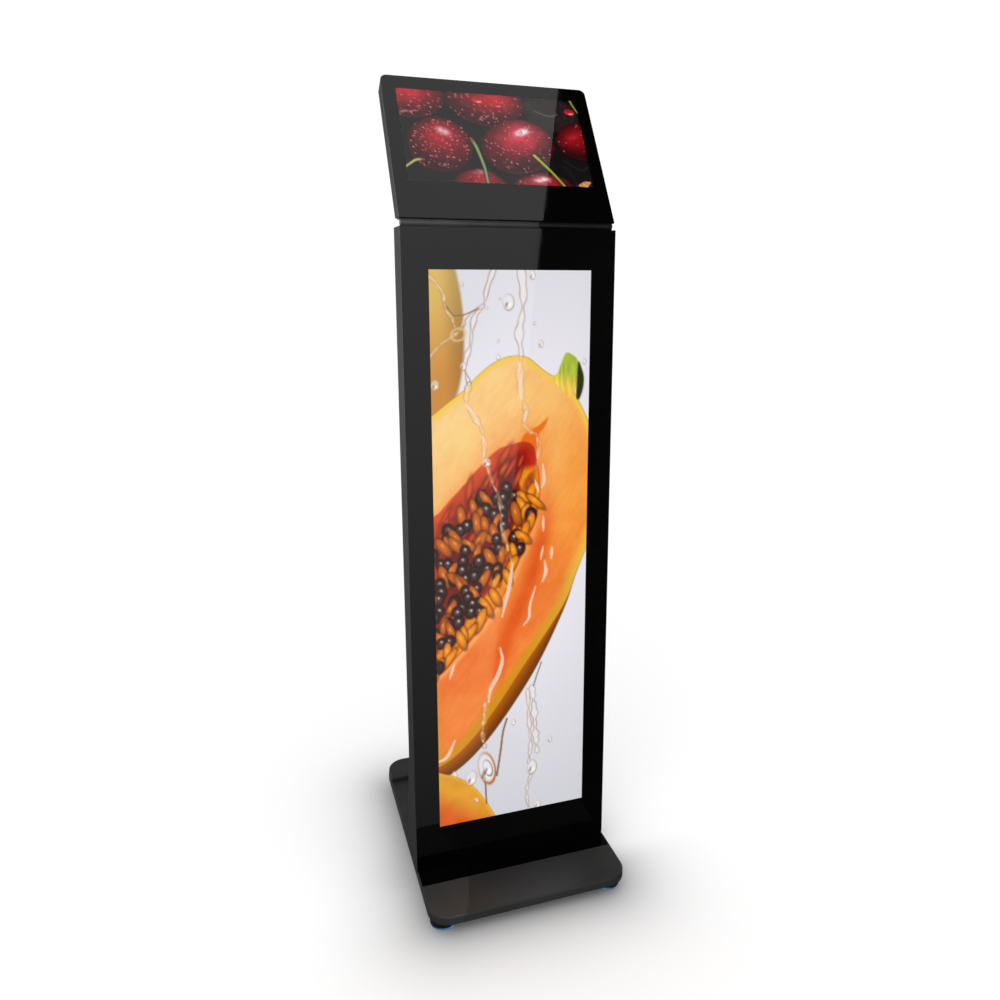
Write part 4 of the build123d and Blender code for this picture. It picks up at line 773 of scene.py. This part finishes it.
def window_of(screen, up):
    """(x0, x1, low, high) of the visible picture: the screen plate laps behind the print all round."""
    x, rise = reach(screen, ACROSS), reach(screen, up)
    return x[0] + PLATE_LAP, x[1] - PLATE_LAP, rise[0] + PLATE_LAP, rise[1] - PLATE_LAP


def picture_origin(screen, window, up, out):
    """The upper left corner of a window, just in front of its screen plate."""
    return ACROSS * window[0] + up * window[3] + out * (reach(screen, out)[1] + PICTURE_GAP)


HEAD_UP, HEAD_OUT = tilt_axes()
LOW_WINDOW = window_of("lower_screen", UP)
HEAD_WINDOW = window_of("head_screen", HEAD_UP)

low_origin = picture_origin("lower_screen", LOW_WINDOW, UP, FORWARD)
head_origin = picture_origin("head_screen", HEAD_WINDOW, HEAD_UP, HEAD_OUT)
display_picture("lower_picture_sheet", papaya(), low_origin, -UP, "stand")
display_picture("head_picture_sheet", cherries(), head_origin, -HEAD_UP, "head")

# ---------------------------------------------------------------- finishes on the CAD nodes
BLACK_POWDER = grey(0.0205, 0.03), grey(0.0265, 0.04)
FINISHES = {
    "casing_black": powder_coat("casing_powder", *BLACK_POWDER),
    "hinge_grey": powder_coat("hinge_powder", grey(0.007), grey(0.011), 0.30, 0.8),
    "lower_picture": plastic("lower_panel_back", grey(0.004), grey(0.008), 0.5),
    "upper_picture": plastic("head_panel_back", grey(0.004), grey(0.008), 0.5),
    "touch_film": clear_film("touch_film"),
    "display_back": metal("display_back", grey(0.30), grey(0.42, 0.02), 0.42, scale=18.0),
    "plated_steel": metal("zinc_plate", (0.42, 0.44, 0.45, 1), (0.60, 0.61, 0.60, 1), 0.36, scale=55.0),
    "raw_steel": metal("mill_steel", grey(0.10, 0.05), grey(0.20, 0.08), 0.55, scale=24.0, bump=0.08),
    "equipment_metal": metal("equipment_tin", grey(0.42), grey(0.55), 0.33, (1.0, 0.04, 1.0), scale=30.0),
    "circuit_green": board_green("circuit_board"),
    "black_plastic": plastic("black_plastic", grey(0.012), grey(0.022), 0.42),
    "soft_black": plastic("soft_black", grey(0.010), grey(0.018), 0.72, 420.0, 0.1, 0.3),
    "lead_jacket": plastic("lead_jacket", grey(0.015), grey(0.024), 0.5, 700.0, 0.03),
    "bright_steel": metal("bright_steel", (0.62, 0.62, 0.61, 1), (0.78, 0.78, 0.77, 1), 0.22, scale=120.0),
    "foot_rubber": foot_rubber("foot_rubber", grey(0.009), grey(0.016)),
}
STRIP_DEPTH = 41.5 * MM
STRIP_BELOW_PANE = 0.4 * MM
pane_low, pane_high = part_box("column_front_glass")
STRIP = (pane_low.y - STRIP_DEPTH, pane_high.y, pane_low.z - STRIP_BELOW_PANE)
FINISHES["base_pan"] = powder_coat("base_powder", *BLACK_POWDER, gloss_strip=STRIP)
FINISHES["column_front_glass"] = front_glass("column_glass", LOW_WINDOW, UP.tolist())
FINISHES["head_glass"] = front_glass("head_glass", HEAD_WINDOW, HEAD_UP.tolist())
for node, slot in SLOT_OF.items():
    surface = frame["nodes"][node].data
    surface.materials.clear()
    surface.materials.append(FINISHES.get(node) or FINISHES[slot])

# ---------------------------------------------------------------- camera
LENS, SENSOR = 28.94, 36.0
CAMERA_SHIFT = (-0.0157, -0.0510)
CAMERA_PLACE = Vector((-0.44435, -1.5104, 1.1741))
CAMERA_TILT, CAMERA_TURN = math.radians(78.63), math.radians(-18.02)
camera_data = bpy.data.cameras.new("camera")
camera_data.lens, camera_data.sensor_width = LENS, SENSOR
camera_data.shift_x, camera_data.shift_y = CAMERA_SHIFT
camera_data.clip_start, camera_data.clip_end = 0.05, 200.0
camera = bpy.data.objects.new("camera", camera_data)
camera.location = CAMERA_PLACE
camera.rotation_euler = (CAMERA_TILT, 0.0, CAMERA_TURN)
bpy.context.scene.collection.objects.link(camera)
bpy.context.scene.camera = camera
bpy.context.scene.view_settings.view_transform = "Standard"


# ---------------------------------------------------------------- floor, world and lights
def stage_mesh(name, corners, material):
    mesh = bpy.data.meshes.new(name)
    mesh.from_pydata([list(c) for c in corners], [], [tuple(range(len(corners)))])
    mesh.materials.append(material)
    made = bpy.data.objects.new(name, mesh)
    bpy.context.scene.collection.objects.link(made)
    return made


def studio_floor():
    """Pale paper, with a soft drop shadow drawn round the base, but not at its open right-hand side."""
    base_corner = 40 * MM
    shadow_reach, shadow_fall, shadow_share = 82 * MM, 1.25, 0.42
    open_x, open_y = (0.17, 0.23), (-0.21, -0.09)
    half_width = 30.0
    look = Look("floor_paper")
    grain = look.noise(180.0, 3.0)
    _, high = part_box("base_pan")
    inner = (high.x - base_corner, high.y - base_corner, 0.0)
    away = look.add("VectorMath", {"operation": "ABSOLUTE"}, _0=look.place).outputs[0]
    away = look.add("VectorMath", {"operation": "SUBTRACT"}, _0=away, _1=inner).outputs[0]
    away = look.add("VectorMath", {"operation": "MAXIMUM"}, _0=away, _1=(0.0, 0.0, 0.0)).outputs[0]
    away = look.add("VectorMath", {"operation": "LENGTH"}, _0=away).outputs["Value"]
    away = look.maths("MAXIMUM", look.maths("SUBTRACT", away, base_corner), 0.0)
    power = look.maths("POWER", look.maths("DIVIDE", away, shadow_reach), shadow_fall)
    fade = look.maths("EXPONENT", look.maths("MULTIPLY", power, -1.0))
    axes = look.add("SeparateXYZ", Vector=look.place)
    open_side = look.maths("MULTIPLY", look.span(axes.outputs["X"], *open_x),
                           look.span(axes.outputs["Y"], *open_y))
    shade = look.maths("MULTIPLY", fade, look.span(open_side, 0.0, 1.0, shadow_share, 0.0))
    paper = look.mix(grain, grey(0.885), grey(0.90))
    look.set(Base_Color=look.mix(shade, paper, grey(0.0)), Roughness=0.9, Specular_IOR_Level=0.0)
    corners = [(x * half_width, y * half_width, 0) for x, y in ((-1, -1), (1, -1), (1, 1), (-1, 1))]
    floor = stage_mesh("floor", corners, look.material)
    floor.visible_glossy = False


def studio_world():
    """A white surround for the camera, an even sky for soft light, and for reflections a dark front with
    its light behind the object and near the horizon."""
    world = bpy.data.worlds.new("studio")
    bpy.context.scene.world = world
    world.use_nodes = True
    nodes = Nodes(world.node_tree)
    sky = nodes.tree.nodes["Background"]
    nodes.put(sky.inputs["Color"], WHITE)
    nodes.put(sky.inputs["Strength"], 1.14)
    seen = nodes.add("Background", Color=WHITE, Strength=1.05)
    way = nodes.add("SeparateXYZ", Vector=nodes.add("TexCoord").outputs["Generated"])
    behind = nodes.span(way.outputs["Y"], -0.15, 0.55, 0.03, 0.47)
    level = nodes.span(nodes.maths("ABSOLUTE", way.outputs["Z"]), 0.08, 0.60, 1.0, 0.15)
    mirrored = nodes.add("Background", Strength=nodes.maths("MULTIPLY", behind, level))
    path = nodes.add("LightPath")
    shown = sky
    for share, last in (("Is Glossy Ray", mirrored), ("Is Camera Ray", seen)):
        shown = nodes.add("MixShader", _0=path.outputs[share], _1=shown.outputs[0], _2=last.outputs[0])
    nodes.put(nodes.tree.nodes["World Output"].inputs["Surface"], shown.outputs[0])


def add_lamp(name, data, place, aim):
    """A light at place whose beam runs in the direction aim. The camera doesn't see it."""
    lamp = bpy.data.objects.new(name, data)
    lamp.location = place
    lamp.rotation_euler = aim.to_track_quat("-Z", "Y").to_euler()
    lamp.visible_camera = False
    bpy.context.scene.collection.objects.link(lamp)
    return lamp


def soft_box(name, place, target, size, power):
    data = bpy.data.lights.new(name, "AREA")
    data.shape, data.size, data.size_y, data.energy = "RECTANGLE", *size, power
    add_lamp(name, data, place, Vector(target) - Vector(place))


def edge_glow(name, nodes, place, edge, power):
    """A sharp-edged spot on the named nodes alone. Its cone touches the line through the two points of edge,
    and lights what lies to the left of that line."""
    half = math.radians(16.0)
    data = bpy.data.lights.new(name, "SPOT")
    data.spot_size, data.spot_blend, data.shadow_soft_size, data.energy = 2 * half, 0.0, 0.001, power
    place, first, second = Vector(place), Vector(edge[0]), Vector(edge[1])
    along = (second - first).normalized()
    ray = first - place
    ray = (ray - along * ray.dot(along)).normalized()
    outward = along.cross(ray).normalized()
    if outward.x < 0:
        outward.negate()
    lamp = add_lamp(name, data, place, ray * math.cos(half) - outward * math.sin(half))
    lit = bpy.data.collections.new(name + "_on")
    for node in nodes:
        lit.objects.link(frame["nodes"][node])
    lamp.light_linking.receiver_collection = lit


def glare_card(name, anchor, normal, corners, distance, low_light, high_light):
    """A lit card that the pane at anchor mirrors to the camera. corners are points on the pane that bound its
    reflection, the bottom pair first, and the light runs from low_light there to high_light at the top."""
    normal, anchor, eye = np.array(normal, float), np.array(anchor, float), np.array(CAMERA_PLACE)
    mirrored = eye - 2 * ((eye - anchor) @ normal) * normal
    far = [mirrored + (np.array(c) - mirrored) * distance for c in corners]
    look = Look(name)
    rise = look.add("Attribute", {"attribute_name": "rise"}).outputs["Fac"]
    light = look.span(rise, 0.0, 1.0, low_light, high_light)
    light.node.interpolation_type = "LINEAR"
    glow = look.add("Emission", Color=WHITE, Strength=light).outputs[0]
    look.put(look.output.inputs["Surface"], glow)
    card = stage_mesh(name, far, look.material)
    level = card.data.attributes.new("rise", "FLOAT", "POINT")
    level.data.foreach_set("value", [0.0, 0.0, 1.0, 1.0])
    for ray in ("camera", "diffuse", "transmission", "shadow", "volume_scatter"):
        setattr(card, "visible_" + ray, False)


# Where the photo's grey patch of glare ends, in metres, on the base, the barrel and the two panes
BASE_EDGE = ((-0.1039, -0.1783, 0.040), (-0.1382, -0.2758, 0.040))
NECK_EDGE = ((0.052, -0.117, 1.270), (0.052, -0.117, 1.290))
COLUMN_EDGE_LOW, COLUMN_EDGE_HIGH = (-0.0945, -0.05), (0.0615, 1.34)
HEAD_EDGE_LOW, HEAD_EDGE_HIGH = 0.0452, 0.1535
FAR_LEFT = -0.60
HEAD_FAR_LEFT = -0.50

studio_floor()
studio_world()
soft_box("key", (-1.6, -2.2, 3.4), (0.0, 0.0, 0.6), (1.6, 1.6), 16.0)
edge_glow("base_glow", ["base_pan"], (0.822, -0.559, 1.540), BASE_EDGE, 62.0)
edge_glow("neck_glow", ["hinge_barrel", "head_knuckles"], (-1.1, -1.0, 1.283), NECK_EDGE, 440.0)

(low_x, low_z), (high_x, high_z) = COLUMN_EDGE_LOW, COLUMN_EDGE_HIGH
column_corners = [(x, pane_low.y, z) for x, z in
                  ((FAR_LEFT, low_z), (low_x, low_z), (high_x, high_z), (FAR_LEFT, high_z))]
glare_card("column_glare", (0.0, pane_low.y, 0.0), FORWARD, column_corners, 3.2, 0.11, 0.90)

head_face = HEAD_OUT * reach("head_glass", HEAD_OUT)[1]
head_low, head_high = reach("head_glass", HEAD_UP)
head_low, head_high = head_low - 0.05, head_high + 0.03
head_corners = [head_face + ACROSS * x + HEAD_UP * z for x, z in
                ((HEAD_FAR_LEFT, head_low), (HEAD_EDGE_LOW, head_low),
                 (HEAD_EDGE_HIGH, head_high), (HEAD_FAR_LEFT, head_high))]
glare_card("head_glare", head_face, HEAD_OUT, head_corners, 2.6, 0.86, 0.86)
